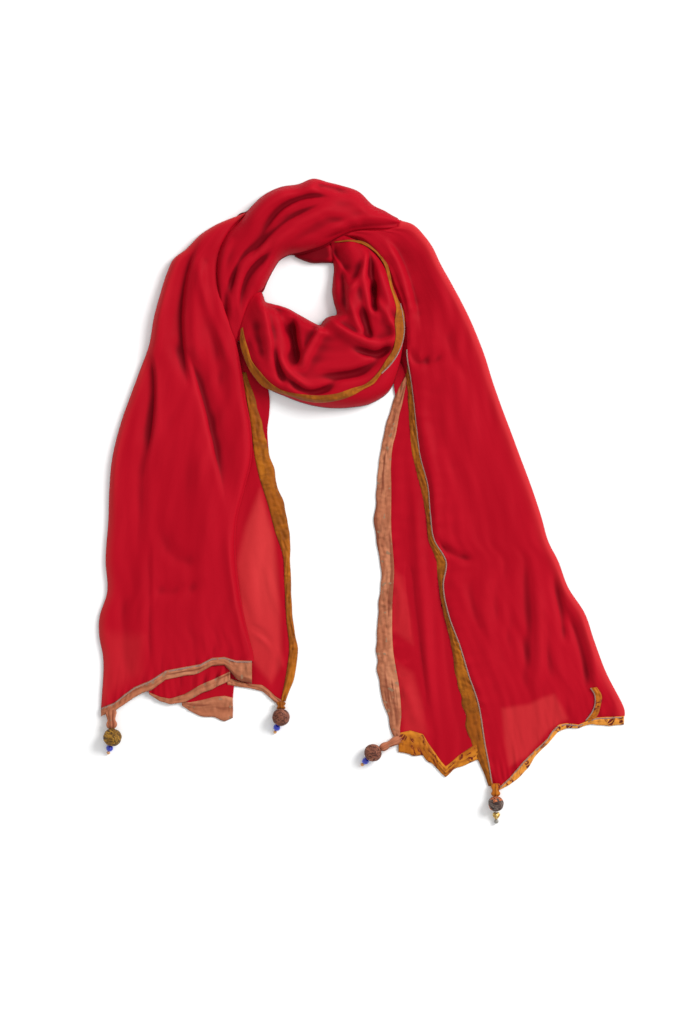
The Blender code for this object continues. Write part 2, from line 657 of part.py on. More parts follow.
def build_left_tail():
    bundle("left_tail_core", stretch(LEFT_CORE, [], 12, even_columns(6), CORE_ROUND), "red")
    v = even_columns(16)
    front = stretch(LEFT_FRONT, LEFT_FOLDS, 40, v, PANEL_ROUND, hem=LEFT_HEM)
    wall("left_tail_front", front, "red")
    hem_band("hem_peach_front", front, LEFT_HEM, "peach", v=v)

    v = even_columns(6)
    upper = stretch(LEFT_UPPER, [], 6, v, FLAT_ROUND, hem=UPPER_HEM)
    wall("left_tail_fold_upper", upper, "red")
    hem_band("hem_peach_upper", upper, UPPER_HEM, "peach", v=v)
    lower = stretch(LEFT_LOWER, [], 6, v, FLAT_ROUND, hem=LOWER_HEM)
    wall("left_tail_fold_lower", lower, "red")
    hem_band("hem_peach_lower", lower, LOWER_HEM, "peach", v=v)

    v = even_columns(7)
    side = stretch(LEFT_SIDE, SIDE_FOLDS, 30, v, FLAT_ROUND, hem=SIDE_HEM)
    wall("left_tail_side", side, "red")
    side_band("band_ochre_left", side, LEFT_SIDE, -1, (1, 0), "ochre")
    hem_band("hem_peach_side", side, SIDE_HEM, "peach", v=v)
    inner = stretch(LEFT_INNER, [], 6, even_columns(2), FLAT_ROUND)
    wall("left_tail_inner", inner, "red")


def build_right_tail():
    v = even_columns(16)
    back = stretch(RIGHT_BACK, BACK_FOLDS, 30, v, FLAT_ROUND, hem=BACK_HEM)
    wall("right_tail_back", back, "red")
    side_band("band_peach_right", back, RIGHT_BACK, 0, (-1, 0), "peach")
    hem_band("hem_print_back", back, BACK_HEM, "print", PRINT_BACK_REACH, v)

    front = stretch(RIGHT_FRONT, RIGHT_FOLDS, 46, v, PANEL_ROUND, RIGHT_HEAD, RIGHT_HEM)
    wall("right_tail_front", front, "red")
    side_band("band_ochre_right", front, RIGHT_FRONT, 0, (-1, 0), "ochre", 0.3, 1.0)
    hem_band("hem_print_front", front, RIGHT_HEM, "print", v=v)


def build_drops():
    """The four bead drops. Each bead lies on the table, against the end of its cloth neck."""
    neck_colour = {"left": "peach", "side": "ochre", "back": "brown", "front": "print"}
    for drop in DROPS:
        cloth_neck(drop, neck_colour[drop.name])
        place = (drop.bead_x, drop.bead_y, drop.bead_radius)
        ball("bead_" + drop.name, place, drop.bead_radius, drop.colour)
    front = DROPS[-1]
    apart = front.bead_radius + TIP_RADIUS + SEAM_GAP
    level = np.sqrt(apart**2 - (front.bead_radius - TIP_RADIUS) ** 2)
    place = (front.bead_x, front.bead_y - level, TIP_RADIUS)
    ball("drop_front", place, TIP_RADIUS, "metal", rings=7)


clear_scene()
scarf = bpy.data.collections.new("silk_scarf")
bpy.context.scene.collection.children.link(scarf)
build_loop()
build_left_tail()
build_right_tail()
build_drops()
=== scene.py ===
# %% [markdown]
# # A long silk scarf, laid out with one loop at the neck
# The scarf is one long rectangle of thin red silk. A folded band is sewn along each of its four
# edges: ochre, peach, peach again and a printed orange. A bead drop hangs from each corner. It
# lies on a pale table, wound once into a loop, with its two tails spread below.
#
# The solids made beforehand give each stretch of cloth its place and size. This file dresses
# them: each stretch gets a thin shell with its folds, and every finish is made with shader nodes.
# Sizes below are millimetres, seen from above: x to the right, y up, z off the table.

# %% Load the frame and note its box
from collections import namedtuple

import bpy
import numpy as np
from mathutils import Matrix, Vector


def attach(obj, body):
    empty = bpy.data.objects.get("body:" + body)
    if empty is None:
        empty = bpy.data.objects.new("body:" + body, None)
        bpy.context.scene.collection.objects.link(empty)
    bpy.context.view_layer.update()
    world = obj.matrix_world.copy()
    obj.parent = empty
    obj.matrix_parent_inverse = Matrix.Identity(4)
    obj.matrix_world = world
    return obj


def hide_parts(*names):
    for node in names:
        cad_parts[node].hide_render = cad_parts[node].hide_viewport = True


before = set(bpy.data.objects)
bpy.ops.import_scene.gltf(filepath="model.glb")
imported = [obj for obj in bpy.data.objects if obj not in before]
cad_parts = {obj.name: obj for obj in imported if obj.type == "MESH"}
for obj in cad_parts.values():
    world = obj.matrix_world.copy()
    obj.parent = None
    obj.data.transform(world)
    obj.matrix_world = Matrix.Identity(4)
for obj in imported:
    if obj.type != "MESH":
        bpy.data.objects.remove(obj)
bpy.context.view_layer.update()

MM = 0.001
CENTRE = np.array([0.6, 2.2, 0.0])  # the scarf's middle, in the sizes of the tables
SILK = 0.5  # thickness of the shell that stands for one layer of silk
FLOOR_GAP = 0.7  # the lowest that the top of a layer may lie

# %% [markdown]
# ## The camera
# The picture was taken from straight above, so the camera looks straight down. A long lens from
# five metres away keeps the sides of the thick loop from leaning outwards. The view is 1126 mm
# high, which puts the scarf in the same place in the frame.

# %% Camera
VIEW_HEIGHT = 1126.4
VIEW_MIDDLE = (-22.55, -12.65)  # what lies under the middle of the picture
CAMERA_HEIGHT = 5000.0
SENSOR = 24.0

lens = bpy.data.cameras.new("camera")
lens.sensor_fit = "VERTICAL"
lens.sensor_height = SENSOR
lens.lens = SENSOR * CAMERA_HEIGHT / VIEW_HEIGHT
lens.clip_end = 50
camera = bpy.data.objects.new("camera", lens)
camera.location = (np.array([*VIEW_MIDDLE, CAMERA_HEIGHT]) - CENTRE) * MM
bpy.context.scene.collection.objects.link(camera)
bpy.context.scene.camera = camera
print("lens", round(lens.lens, 1), "mm")

# %% [markdown]
# ## Describing a stretch of cloth
# Draped cloth could be simulated, but then its folds fall where they like. Here the folds are
# known, so each stretch is written as a table: one row for each section across it, with its two
# ends, how high it stands, how high each end stands, and the width of a band along its edge. A
# second table lists its folds, each one a soft ridge or trough along a curve through three
# points. A third gives its hem: points along it and the width of the band there.

# %% Rows of the tables
Section = namedtuple(
    "Section", "left_x left_y right_x right_y lift left_rim right_rim band", defaults=[0]
)
Fold = namedtuple("Fold", "x1 y1 x2 y2 x3 y3 height width lean", defaults=[0])
Hem = namedtuple("Hem", "x y depth")


def level(left_x, left_y, right_x, right_y, lift=1.3, band=0):
    """A section of a layer that lies flat, as high at its ends as in its middle."""
    return Section(left_x, left_y, right_x, right_y, lift, lift, lift, band)


def soft_step(t):
    """Climbs from 0 to 1 with level ends: 3t^2 - 2t^3."""
    t = np.clip(t, 0, 1)
    return t * t * (3 - 2 * t)


def quarter_round(t):
    """A quarter circle that climbs from 0 at t = 0 to 1 at t = 1."""
    return np.sqrt(1 - (1 - np.clip(t, 0, 1)) ** 2)


def run_length(line):
    """The length from the first point of a line to each of its points."""
    return np.concatenate([[0], np.cumsum(np.linalg.norm(np.diff(line, axis=0), axis=1))])


def cubic(table, places, wanted):
    """The rows of a table between its places: the cubic that meets each two rows with the slopes
    of their neighbours, so that the columns run as smooth curves."""
    slopes = np.gradient(table, places, axis=0)
    row = np.clip(np.searchsorted(places, wanted, side="right") - 1, 0, len(places) - 2)
    span = (places[row + 1] - places[row])[:, None]
    t = (wanted - places[row])[:, None] / span
    return (
        (2 * t**3 - 3 * t**2 + 1) * table[row]
        + (t**3 - 2 * t**2 + t) * span * slopes[row]
        + (3 * t**2 - 2 * t**3) * table[row + 1]
        + (t**3 - t**2) * span * slopes[row + 1]
    )


def smooth_rows(rows, count):
    """The rows of a table of sections at even steps of length along the middle of the stretch."""
    table = np.array(rows, float)
    places = run_length((table[:, 0:2] + table[:, 2:4]) / 2)
    return cubic(table, places, np.linspace(0, places[-1], count))


def curve_through(points, cell=1.2):
    """Points about a cell apart on a smooth curve through a table's points."""
    table = np.array(points, float)
    places = run_length(table[:, :2])
    return cubic(table, places, np.linspace(0, places[-1], int(places[-1] / cell) + 2))


def along_curve(points, shares):
    """Points at the given shares of the length of the line through a table's points."""
    line = np.array([point[:2] for point in points], float)
    places = run_length(line)
    wanted = np.asarray(shares) * places[-1]
    return np.stack([np.interp(wanted, places, line[:, i]) for i in (0, 1)], axis=-1)


print("a section has", *Section._fields)

# %% [markdown]
# ## Folds and ripples
# A fold is a bell across its line: height times exp(-(distance / width)^2). It fades out towards
# both ends. With a lean, one flank is wider than the other, as where cloth is pushed over.
# Under the folds lies a field of faint ripples, a sum of waves with random directions that are
# short across the cloth and long along it, because cloth hangs in streaks.

# %% Folds and ripples
FOLD_STEPS = 12  # straight pieces in the line of a fold
WAVES = 36  # sine waves in a field of ripples
BELL_END = 3.2  # widths from a fold's line at which its bell has ended
FADE = 3.2  # a fold has its full height at 1 / FADE of its length


def fold_height(x, y, fold):
    """The height that one fold adds at each point."""
    t = np.linspace(0, 1, FOLD_STEPS + 1)
    line = []
    for a, b, c in ((fold.x1, fold.x2, fold.x3), (fold.y1, fold.y2, fold.y3)):
        line.append(a + (4 * b - 3 * a - c) * t + 2 * (a - 2 * b + c) * t * t)
    line = np.stack(line, axis=-1)
    reach = BELL_END * fold.width * (1 + abs(fold.lean))
    low, high = line.min(axis=0) - reach, line.max(axis=0) + reach
    near = (x > low[0]) & (x < high[0]) & (y > low[1]) & (y < high[1])
    start, way = line[:-1], np.diff(line, axis=0)
    offset = np.stack([x[near], y[near]], axis=-1)[..., None, :] - start
    share = np.clip((offset * way).sum(-1) / (way**2).sum(-1), 0, 1)
    away = offset - share[..., None] * way
    distance = np.linalg.norm(away, axis=-1)
    nearest = distance.argmin(axis=-1)[..., None]
    side = way[..., 0] * away[..., 1] - way[..., 1] * away[..., 0]
    side = np.sign(np.take_along_axis(side, nearest, -1)[..., 0])
    along = (nearest + np.take_along_axis(share, nearest, -1))[..., 0] / FOLD_STEPS
    wide = fold.width * (1 + fold.lean * side)
    bell = np.exp(-((distance.min(axis=-1) / wide) ** 2))
    made = np.zeros(x.shape)
    made[near] = fold.height * bell * soft_step(FADE * np.minimum(along, 1 - along))
    return made


def ripples(along, across, seed, height, wave, stretch=6.0):
    """A sum of sine waves: lengths near `wave` across the cloth and `stretch` times that along."""
    draw = np.random.default_rng(seed)
    k_across = 2 * np.pi / (wave * draw.uniform(0.6, 1.8, WAVES))
    k_along = 2 * np.pi / (wave * stretch * draw.uniform(0.6, 2.0, WAVES))
    k_along = k_along * draw.choice([-1, 1], WAVES)
    phase = draw.uniform(0, 2 * np.pi, WAVES)
    total = 0
    for a, b, c in zip(k_along, k_across, phase):
        total = total + np.sin(a * along + b * across + c)
    return height * total / np.sqrt(WAVES / 2)


sample = fold_height(np.zeros(1), np.zeros(1), Fold(-20, 0, 0, 0, 20, 0, 5, 6))
print("a fold of 5 mm adds", round(float(sample[0]), 2), "mm in its middle")

# %% [markdown]
# ## From a table to a surface
# A stretch is a surface with two parameters: v runs from one end of a section to the other and u
# runs along the stretch. The plan is a straight line from end to end, the height is the lift,
# turned down in a quarter circle near each end, plus the folds and ripples. Where an end stands
# high it meets other cloth, and the surface goes on under it as a tuck, so that no gap shows.

# %% Surfaces of cloth
FOLD_INSET = 6.0  # how far from an edge folds have their full height
HEAD_BEND = 0.12  # share of the length over which the head bends to its curve
HEM_BEND = 0.28  # the same for the hem
COARSE = 50  # rows of the first, coarse measure of a stretch
CROWDING = 0.5  # how much closer the columns lie near both edges
TUCK = 9.0  # reach of a tuck, and its steps
TUCK_STEPS = 5
TUCK_FROM, TUCK_FULL = 1.5, 6.0  # heights of an edge where its tuck starts and is full
ROLL_STEPS = 7  # steps of a rolled side, and how far it goes back under
ROLL_UNDER = 4.0
EDGE_CELLS, EDGE_SMOOTH = 5, 9  # cells that give the way out of an edge, and rows averaged
PUCKER_REACH = 22.0  # how far from its seam a pucker fades
BLUR = 2.0  # width of the bell that reads a surface's height
SHADE_CELLS, SHADE_FULL = 9, 2.2  # cells around a point, and the height that counts as 1


def shares_across(count):
    """Shares from 0 to 1, closer together near both ends, where the surface turns down."""
    s = np.linspace(0, 1, count + 1)
    return s - CROWDING * np.sin(2 * np.pi * s) / (2 * np.pi)


def stretch(sections, folds, cell, radius, seed, head=None, hem=None, ripple=0.25, wave=22.0):
    """The top of a stretch of cloth as a grid of points, with cells of about the size given."""
    coarse = smooth_rows(sections, COARSE)
    long = np.linalg.norm(np.diff((coarse[:, 0:2] + coarse[:, 2:4]) / 2, axis=0), axis=1).sum()
    wide = np.linalg.norm(coarse[:, 2:4] - coarse[:, 0:2], axis=1).max()
    rows = smooth_rows(sections, int(long / cell) + 2)
    v = shares_across(int(wide / cell) + 2)[None, :]
    left, right = rows[:, None, 0:2], rows[:, None, 2:4]
    plan = left + (right - left) * v[..., None]
    u = np.linspace(0, 1, len(rows))[:, None, None]
    ends = ((head, 0, 1 - u / HEAD_BEND), (hem, -1, 1 - (1 - u) / HEM_BEND))
    for curve, end, pull in ends:
        if curve:
            plan = plan + soft_step(pull) * (along_curve(curve, v[0]) - plan[end])
    width = np.linalg.norm(right - left, axis=-1)
    turn = np.minimum(radius, width / 2)
    lift, left_rim, right_rim = (rows[:, i, None] for i in (4, 5, 6))
    z = lift - (lift - left_rim) * (1 - quarter_round(v * width / turn))
    z = z - (lift - right_rim) * (1 - quarter_round((1 - v) * width / turn))
    inside = soft_step(np.minimum(v, 1 - v) * width / FOLD_INSET)
    x, y = plan[..., 0], plan[..., 1]
    for fold in folds:
        z = z + inside * fold_height(x, y, fold)
    z = z + inside * ripples(u[..., 0] * long, v * width, seed, ripple, wave)
    return np.concatenate([plan, np.maximum(z, FLOOR_GAP)[..., None]], axis=-1)


def towards(grid, side):
    """The grid with its lines running towards one side, so that this side is its last column."""
    if side in ("head", "hem"):
        grid = np.swapaxes(grid, 0, 1)
    return grid[:, ::-1] if side in ("left", "head") else grid


def put_back(lines, side):
    """Undoes `towards`."""
    lines = lines[:, ::-1] if side in ("left", "head") else lines
    return np.swapaxes(lines, 0, 1) if side in ("head", "hem") else lines


def outward(lines):
    """Unit directions in which lines leave their last column, averaged along the edge."""
    way = lines[:, -1, :2] - lines[:, -1 - EDGE_CELLS, :2]
    way = np.pad(way, ((EDGE_SMOOTH, EDGE_SMOOTH), (0, 0)), mode="edge")
    kernel = np.ones(2 * EDGE_SMOOTH + 1)
    way = np.stack([np.convolve(way[:, i], kernel, mode="valid") for i in (0, 1)], axis=1)
    return way / np.linalg.norm(way, axis=1, keepdims=True)


def tucked(grid, side, reach=TUCK, fall=7.0):
    """The grid with lines added beyond one side, which run on outwards and sink.

    The tuck grows with the height of the edge: nothing on the table, its full reach from 6 mm.
    """
    lines = towards(grid, side)
    edge, way = lines[:, -1], outward(lines)
    full = reach * soft_step((edge[:, 2:3] - TUCK_FROM) / (TUCK_FULL - TUCK_FROM)) + 0.01
    added = []
    for share in np.linspace(0, 1, TUCK_STEPS + 1)[1:]:
        z = np.maximum(edge[:, 2:3] - fall * share * full / reach, FLOOR_GAP)
        added.append(np.concatenate([edge[:, :2] + way * full * share, z], axis=1)[:, None])
    return put_back(np.concatenate([lines, *added], axis=1), side)


def rolled(grid, side, radius=2.4):
    """The grid with its side rolled under: a half circle outwards and down, then back inwards."""
    lines = towards(grid, side)
    edge, way = lines[:, -1], outward(lines)
    fit = np.clip((edge[:, 2:3] - 0.4) / 2, 0.2, radius)
    added = []
    for angle in np.linspace(0, np.pi, ROLL_STEPS + 1)[1:]:
        plan = edge[:, :2] + way * fit * np.sin(angle)
        z = edge[:, 2:3] - fit * (1 - np.cos(angle))
        added.append(np.concatenate([plan, z], axis=1)[:, None])
    back = np.concatenate([edge[:, :2] - way * ROLL_UNDER, edge[:, 2:3] - 2 * fit], axis=1)
    return put_back(np.concatenate([lines, *added, back[:, None]], axis=1), side)


def puckered(grid, side, height, wave=10.0, seed=0):
    """The grid with the short folds that a stitched edge draws in: waves that fade away from it."""
    lines = towards(grid, side).copy()
    along = run_length(lines[:, -1])
    away = np.linalg.norm(lines[..., :2] - lines[:, -1:, :2], axis=-1)
    waves = ripples(away, along[:, None], 100 + seed, height, wave, stretch=5)
    lines[..., 2] = np.maximum(lines[..., 2] + waves * np.exp(-away / PUCKER_REACH), FLOOR_GAP)
    return put_back(lines, side)


def height_on(grid, points):
    """The height of a surface at points in plan: a mean weighted by exp(-(distance / BLUR)^2)."""
    known = grid[::2, ::2].reshape(-1, 3)
    flat = np.asarray(points, float)[..., :2].reshape(-1, 2)
    found = []
    for part in np.array_split(flat, len(flat) // 200 + 1):
        away = ((part[:, None] - known[None, :, :2]) ** 2).sum(-1)
        weight = np.exp(-(away - away.min(axis=1, keepdims=True)) / BLUR**2)
        found.append((weight * known[:, 2]).sum(axis=1) / weight.sum(axis=1))
    return np.concatenate(found).reshape(np.asarray(points).shape[:-1])


def lengths(grid, axis):
    """The length run through along a grid's axis, averaged over its lines, in millimetres."""
    steps = np.linalg.norm(np.diff(grid, axis=axis), axis=-1).mean(axis=1 - axis)
    return np.concatenate([[0], np.cumsum(steps)])


def facing_up(grid):
    """The grid, with its columns turned round if its squares would face down."""
    a, b = grid[1:, :-1] - grid[:-1, :-1], grid[:-1, 1:] - grid[:-1, :-1]
    up = (a[..., 0] * b[..., 1] - a[..., 1] * b[..., 0]).sum() > 0
    return grid if up else grid[:, ::-1]


def blurred(values, cells):
    """An array averaged over a bell of cells along both of its axes."""
    kernel = np.hanning(2 * cells + 3)[1:-1]
    for axis in (0, 1):
        count = values.shape[axis]
        margins = [(cells, cells) if i == axis else (0, 0) for i in (0, 1)]
        padded = np.pad(values, margins, mode="edge")
        values = sum(
            share * np.take(padded, range(step, step + count), axis)
            for step, share in enumerate(kernel / kernel.sum())
        )
    return values


def fold_shade(grid):
    """How far each point lies above (1) or below (-1) the cloth around it."""
    around = blurred(grid[..., 2], SHADE_CELLS)
    return np.clip((grid[..., 2] - around) / SHADE_FULL, -1, 1)


def painted_edge_light(grid, side, strength, reach=5.0):
    """Painted light along one side of the cloth, a paler rim: strength times exp(-(distance /
    reach)^2).
    """
    lines = towards(grid, side)
    away = np.linalg.norm(lines[..., :2] - lines[:, -1:, :2], axis=-1)
    return put_back((strength * np.exp(-((away / reach) ** 2)))[..., None], side)[..., 0]


def patch(grid, shape, soft=9.0):
    """1 inside an outline of points and 0 outside, fading over a distance near its edge.

    The distance to the outline is the least over its sides, and a point is inside where the
    sides wind round it.
    """
    outline = np.array(shape, float)
    start, end = outline, np.roll(outline, -1, axis=0)
    point = grid[..., None, :2]
    way = end - start
    share = np.clip(((point - start) * way).sum(-1) / (way**2).sum(-1), 0, 1)
    distance = np.linalg.norm(point - start - share[..., None] * way, axis=-1).min(axis=-1)
    x, y = point[..., 0], point[..., 1]
    crossing = (start[:, 1] > y) != (end[:, 1] > y)
    meets = start[:, 0] + (y - start[:, 1]) / np.where(way[:, 1] == 0, 1, way[:, 1]) * way[:, 0]
    inside = (crossing & (x < meets)).sum(axis=-1) % 2 == 1
    return soft_step(0.5 + np.where(inside, 1, -1) * distance / soft)


def keep_number(mesh, name, values):
    """Keeps a number for each point of a mesh, for its finish to read."""
    layer = mesh.attributes.new(name, "FLOAT", "POINT")
    layer.data.foreach_set("value", np.ascontiguousarray(values).ravel())


def add_piece(name, mesh, material, thickness=0.0):
    """Adds a mesh with its finish. Solidify gives a sheet its thickness downwards."""
    mesh.polygons.foreach_set("use_smooth", np.ones(len(mesh.polygons), bool))
    mesh.materials.append(material)
    piece = bpy.data.objects.new(name, mesh)
    bpy.context.scene.collection.objects.link(piece)
    if thickness:
        shell = piece.modifiers.new("thickness", "SOLIDIFY")
        shell.thickness = thickness * MM
        shell.offset = -1
    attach(piece, "root")
    return piece


def add_grid(name, grid, material, thickness=SILK, sheer=None, painted_shade=0.0):
    """A sheet from a grid of points in millimetres, with its UV map in metres of cloth.

    Squares join each point to the next in both directions. Each point keeps the numbers that the
    finish reads: `fold`, its height over the cloth around it, from which the finish paints shade
    into the hollows and a highlight onto the crowns, and `sheer`. Where the cloth lies in shade
    under many layers, `painted_shade` is taken off `fold`, which paints its colour deeper.
    """
    keep = facing_up(grid)
    if sheer is not None and keep is not grid:
        sheer = sheer[:, ::-1]
    grid = keep
    rows, columns = grid.shape[:2]
    corner = np.arange((rows - 1) * columns).reshape(rows - 1, columns)[:, :-1].ravel()
    faces = np.stack([corner, corner + columns, corner + columns + 1, corner + 1], axis=1)
    mesh = bpy.data.meshes.new(name)
    mesh.from_pydata(((grid.reshape(-1, 3) - CENTRE) * MM).tolist(), [], faces.tolist())
    u, v = np.meshgrid(lengths(grid, 0), lengths(grid, 1), indexing="ij")
    uv = np.stack([u.ravel(), v.ravel()], axis=1)[faces.ravel()] * MM
    mesh.uv_layers.new(name="cloth").data.foreach_set("uv", uv.ravel())
    # `fold` gives the finish its painted shade in hollows and painted highlight on crowns;
    # `painted_shade` lowers it, which paints the colour deeper.
    keep_number(mesh, "fold", fold_shade(grid) - painted_shade)
    if sheer is not None:
        keep_number(mesh, "sheer", sheer)
    squares = np.cross(grid[1:, :-1] - grid[:-1, :-1], grid[:-1, 1:] - grid[:-1, :-1])
    area = np.linalg.norm(squares, axis=-1).sum() / 100
    print(f"{name}: {rows} x {columns} points, {area:.0f} cm2 of cloth")
    return add_piece(name, mesh, material, thickness)


def lay_silk(name, grid, *nodes, sheer=None, painted_shade=0.0, **cut):
    """A stretch of red silk: the sheet, and the solids that it stands for, which are hidden. The cut
    is not used.
    """
    piece = add_grid(name, grid, red_silk, sheer=sheer, painted_shade=painted_shade)
    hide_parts(*nodes)


print("a sheet is", SILK, "mm thick and tucked in by up to", TUCK, "mm")

# %% [markdown]
# ## Bands, seams and turned pieces
# A band is a folded strip of cloth, so it swells a little between its stitched side and its
# outer fold. Long creases run down it and its outer side is uneven. A seam is the pale line of
# overlocking thread along its stitched side. Beads, knots and cords are stacks of rings, closed
# at both ends.

# %% Bands, seams and rings
BAND_LAP = 1.2  # how far a band reaches over the edge that it is sewn to
BAND_RISE = 0.4  # how far it stands off it there
BAND_COLUMNS = 12
OUTER_LOW = 0.9  # height of a band's outer side on the table
UNEVEN, UNEVEN_WAVE = 0.035, 28  # how much a band's width wavers, and how often
SEAM_WIDTH, SEAM_HEIGHT = 1.4, 0.5
STITCH = 0.9  # half the length of a stitch


def swollen(inner, outer, seed, puff=1.4, crease=0.35):
    """A band between two lines of points. Across it the height swells as a half ellipse, with
    long creases along it and short puckers across it."""
    s = np.linspace(0, 1, BAND_COLUMNS)[None, :, None]
    grid = inner[:, None] * (1 - s) + outer[:, None] * s
    along = run_length(inner)[:, None]
    across = np.linalg.norm(outer - inner, axis=1)[:, None] * s[..., 0]
    swell = np.sqrt(np.clip(1 - (2 * s[..., 0] - 1) ** 2, 0, 1))
    creases = ripples(along, across, 200 + seed, crease, 4.0, stretch=6)
    puckers = ripples(across, along, 300 + seed, crease, 6.0, stretch=3)
    grid[..., 2] = np.maximum(grid[..., 2] + swell * (puff + creases + puckers), FLOOR_GAP)
    return grid


def edge_band(edge, way, widths, seed, outer=OUTER_LOW):
    """A band sewn to an edge: from a little inside it to its width outwards, along the way given."""
    way = np.broadcast_to(np.array(way, float), (len(edge), 2))
    wide = widths * (1 + UNEVEN * ripples(0, run_length(edge), 400 + seed, 1, UNEVEN_WAVE))
    inner, rim = edge.copy(), edge.copy()
    inner[:, :2] -= way * BAND_LAP
    inner[:, 2] += BAND_RISE
    rim[:, :2] += way * wide[:, None]
    rim[:, 2] = np.minimum(outer, edge[:, 2])
    return swollen(inner, rim, seed)


def sew_band(name, grid, material, shown, length, node_name=None, worn=0.0):
    """A band and the solid that it stands for, which is hidden if it is named. A worn band is paler.
    The cut, `shown` and `length`: a strip of its finished width, of which only a part may show, is
    not used."""
    paler = np.full(grid.shape[:2], worn) if worn else None
    piece = add_grid(name, grid, material, sheer=paler)
    if node_name:
        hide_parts(node_name)


def seam(name, line):
    """A line of overlocking: a narrow raised ribbon along points, with a ridge for each stitch."""
    way = np.gradient(line[:, :2], axis=0)
    way = np.stack([way[:, 1], -way[:, 0]], axis=1) / np.linalg.norm(way, axis=1, keepdims=True)
    s = np.linspace(-1, 1, 5)[None, :]
    grid = np.empty((len(line), 5, 3))
    grid[..., :2] = line[:, None, :2] + way[:, None] * s[..., None] * SEAM_WIDTH / 2
    stitch = 0.75 + 0.25 * np.sin(run_length(line) * np.pi / STITCH)
    grid[..., 2] = line[:, 2:3] + SEAM_HEIGHT * np.sqrt(1 - s**2) * stitch[:, None]
    add_grid(name, grid, seam_thread, thickness=0)


def add_rings(name, rings, material):
    """A closed piece from a stack of rings of points in millimetres, with a point at each end."""
    rows, columns = rings.shape[:2]
    ring = np.arange(rows * columns).reshape(rows, columns)
    after = np.roll(ring, -1, axis=1)
    sides = np.stack([ring[:-1], after[:-1], after[1:], ring[1:]], axis=-1).reshape(-1, 4)
    low, high = rows * columns, rows * columns + 1
    caps = [(low, b, a) for a, b in zip(ring[0], after[0])]
    caps += [(high, a, b) for a, b in zip(ring[-1], after[-1])]
    tips = [rings[0].mean(axis=0), rings[-1].mean(axis=0)]
    points = np.concatenate([rings.reshape(-1, 3), tips])
    mesh = bpy.data.meshes.new(name)
    mesh.from_pydata(((points - CENTRE) * MM).tolist(), [], sides.tolist() + caps)
    along = lengths(rings, 0)
    around = np.linalg.norm(rings - np.roll(rings, -1, axis=1), axis=-1).sum(axis=1).max() / columns
    steps = np.arange(columns) * around
    u = np.stack([along[:-1], along[:-1], along[1:], along[1:]], axis=-1)
    v = np.stack([steps, steps + around, steps + around, steps], axis=-1)
    u, v = u[:, None].repeat(columns, 1), v[None].repeat(rows - 1, 0)
    ends = [(along[end], step) for end in (0, -1) for step in steps.repeat(3)]
    uv = np.concatenate([np.stack([u, v], axis=-1).reshape(-1, 2), ends]) * MM
    mesh.uv_layers.new(name="cloth").data.foreach_set("uv", uv.ravel())
    print(f"{name}: {rows} rings of {columns} points")
    return add_piece(name, mesh, material)


# %% [markdown]
# ## Helpers for shader nodes
# A finish is a small graph of nodes. Adding each one with its settings and its links in one
# call keeps the graph readable. A colour is written as the numbers 0 to 255 that a screen
# shows, and turned into the light values that the renderer works with.

# %% Shader helpers


def light(red, green, blue):
    """A screen colour as linear light: ((c + 0.055) / 1.055)^2.4, or c / 12.92 where dark."""
    c = np.array([red, green, blue]) / 255
    linear = np.where(c > 0.04045, ((c + 0.055) / 1.055) ** 2.4, c / 12.92)
    return (*linear.tolist(), 1.0)


def node(tree, kind, settings=None, **inputs):
    """Adds a node. An input is named, or numbered as _0, and takes a value or a link."""
    made = tree.nodes.new("ShaderNode" + kind)
    for key, value in (settings or {}).items():
        setattr(made, key, value)
    for key, value in inputs.items():
        socket = made.inputs[int(key[1:]) if key.startswith("_") else key.replace("_", " ")]
        if isinstance(value, bpy.types.NodeSocket):
            tree.links.new(value, socket)
        else:
            socket.default_value = value
    return made


def maths(tree, operation, a, b=0.0, c=0.0):
    """One sum on numbers: a and b, and for some operations c."""
    return node(tree, "Math", {"operation": operation}, _0=a, _1=b, _2=c).outputs[0]


def mix(tree, share, a, b):
    """A colour between a and b."""
    blend = tree.nodes.new("ShaderNodeMix")
    blend.data_type = "RGBA"
    for number, value in ((0, share), (6, a), (7, b)):
        if isinstance(value, bpy.types.NodeSocket):
            tree.links.new(value, blend.inputs[number])
        else:
            blend.inputs[number].default_value = value
    return blend.outputs[2]


def between(tree, value, low, high):
    """0 below low, 1 above high, smooth between them."""
    made = node(tree, "MapRange", {"interpolation_type": "SMOOTHSTEP"}, Value=value)
    made.inputs["From Min"].default_value = low
    made.inputs["From Max"].default_value = high
    return made.outputs[0]


def new_group(name, inputs, outputs):
    """An empty node group with its sockets: (name, kind, value) in and (name, kind) out."""
    tree = bpy.data.node_groups.new(name, "ShaderNodeTree")
    for label, kind, value in inputs:
        socket = tree.interface.new_socket(label, in_out="INPUT", socket_type="NodeSocket" + kind)
        if value is not None:
            socket.default_value = value
    for label, kind in outputs:
        tree.interface.new_socket(label, in_out="OUTPUT", socket_type="NodeSocket" + kind)
    start, end = tree.nodes.new("NodeGroupInput"), tree.nodes.new("NodeGroupOutput")
    return tree, start.outputs, end.inputs


def use(tree, group, **inputs):
    """Places a node group in a material."""
    return node(tree, "Group", {"node_tree": group}, **inputs).outputs


def new_material(name):
    """A material with its tree, its Principled shader and the piece's own UV map."""
    made = bpy.data.materials.new(name)
    made.use_nodes = True
    tree = made.node_tree
    shader = tree.nodes["Principled BSDF"]
    uv = node(tree, "UVMap", {"uv_map": "cloth"}).outputs[0]
    return made, tree, shader, uv


def bump(tree, shader, height, distance, strength=1.0):
    """Feeds a height into the shader's normal. The distance is in metres."""
    made = node(tree, "Bump", Height=height, Distance=distance, Strength=strength)
    tree.links.new(made.outputs[0], shader.inputs["Normal"])


print("screen grey 128 is", round(light(128, 128, 128)[0], 3), "as light")
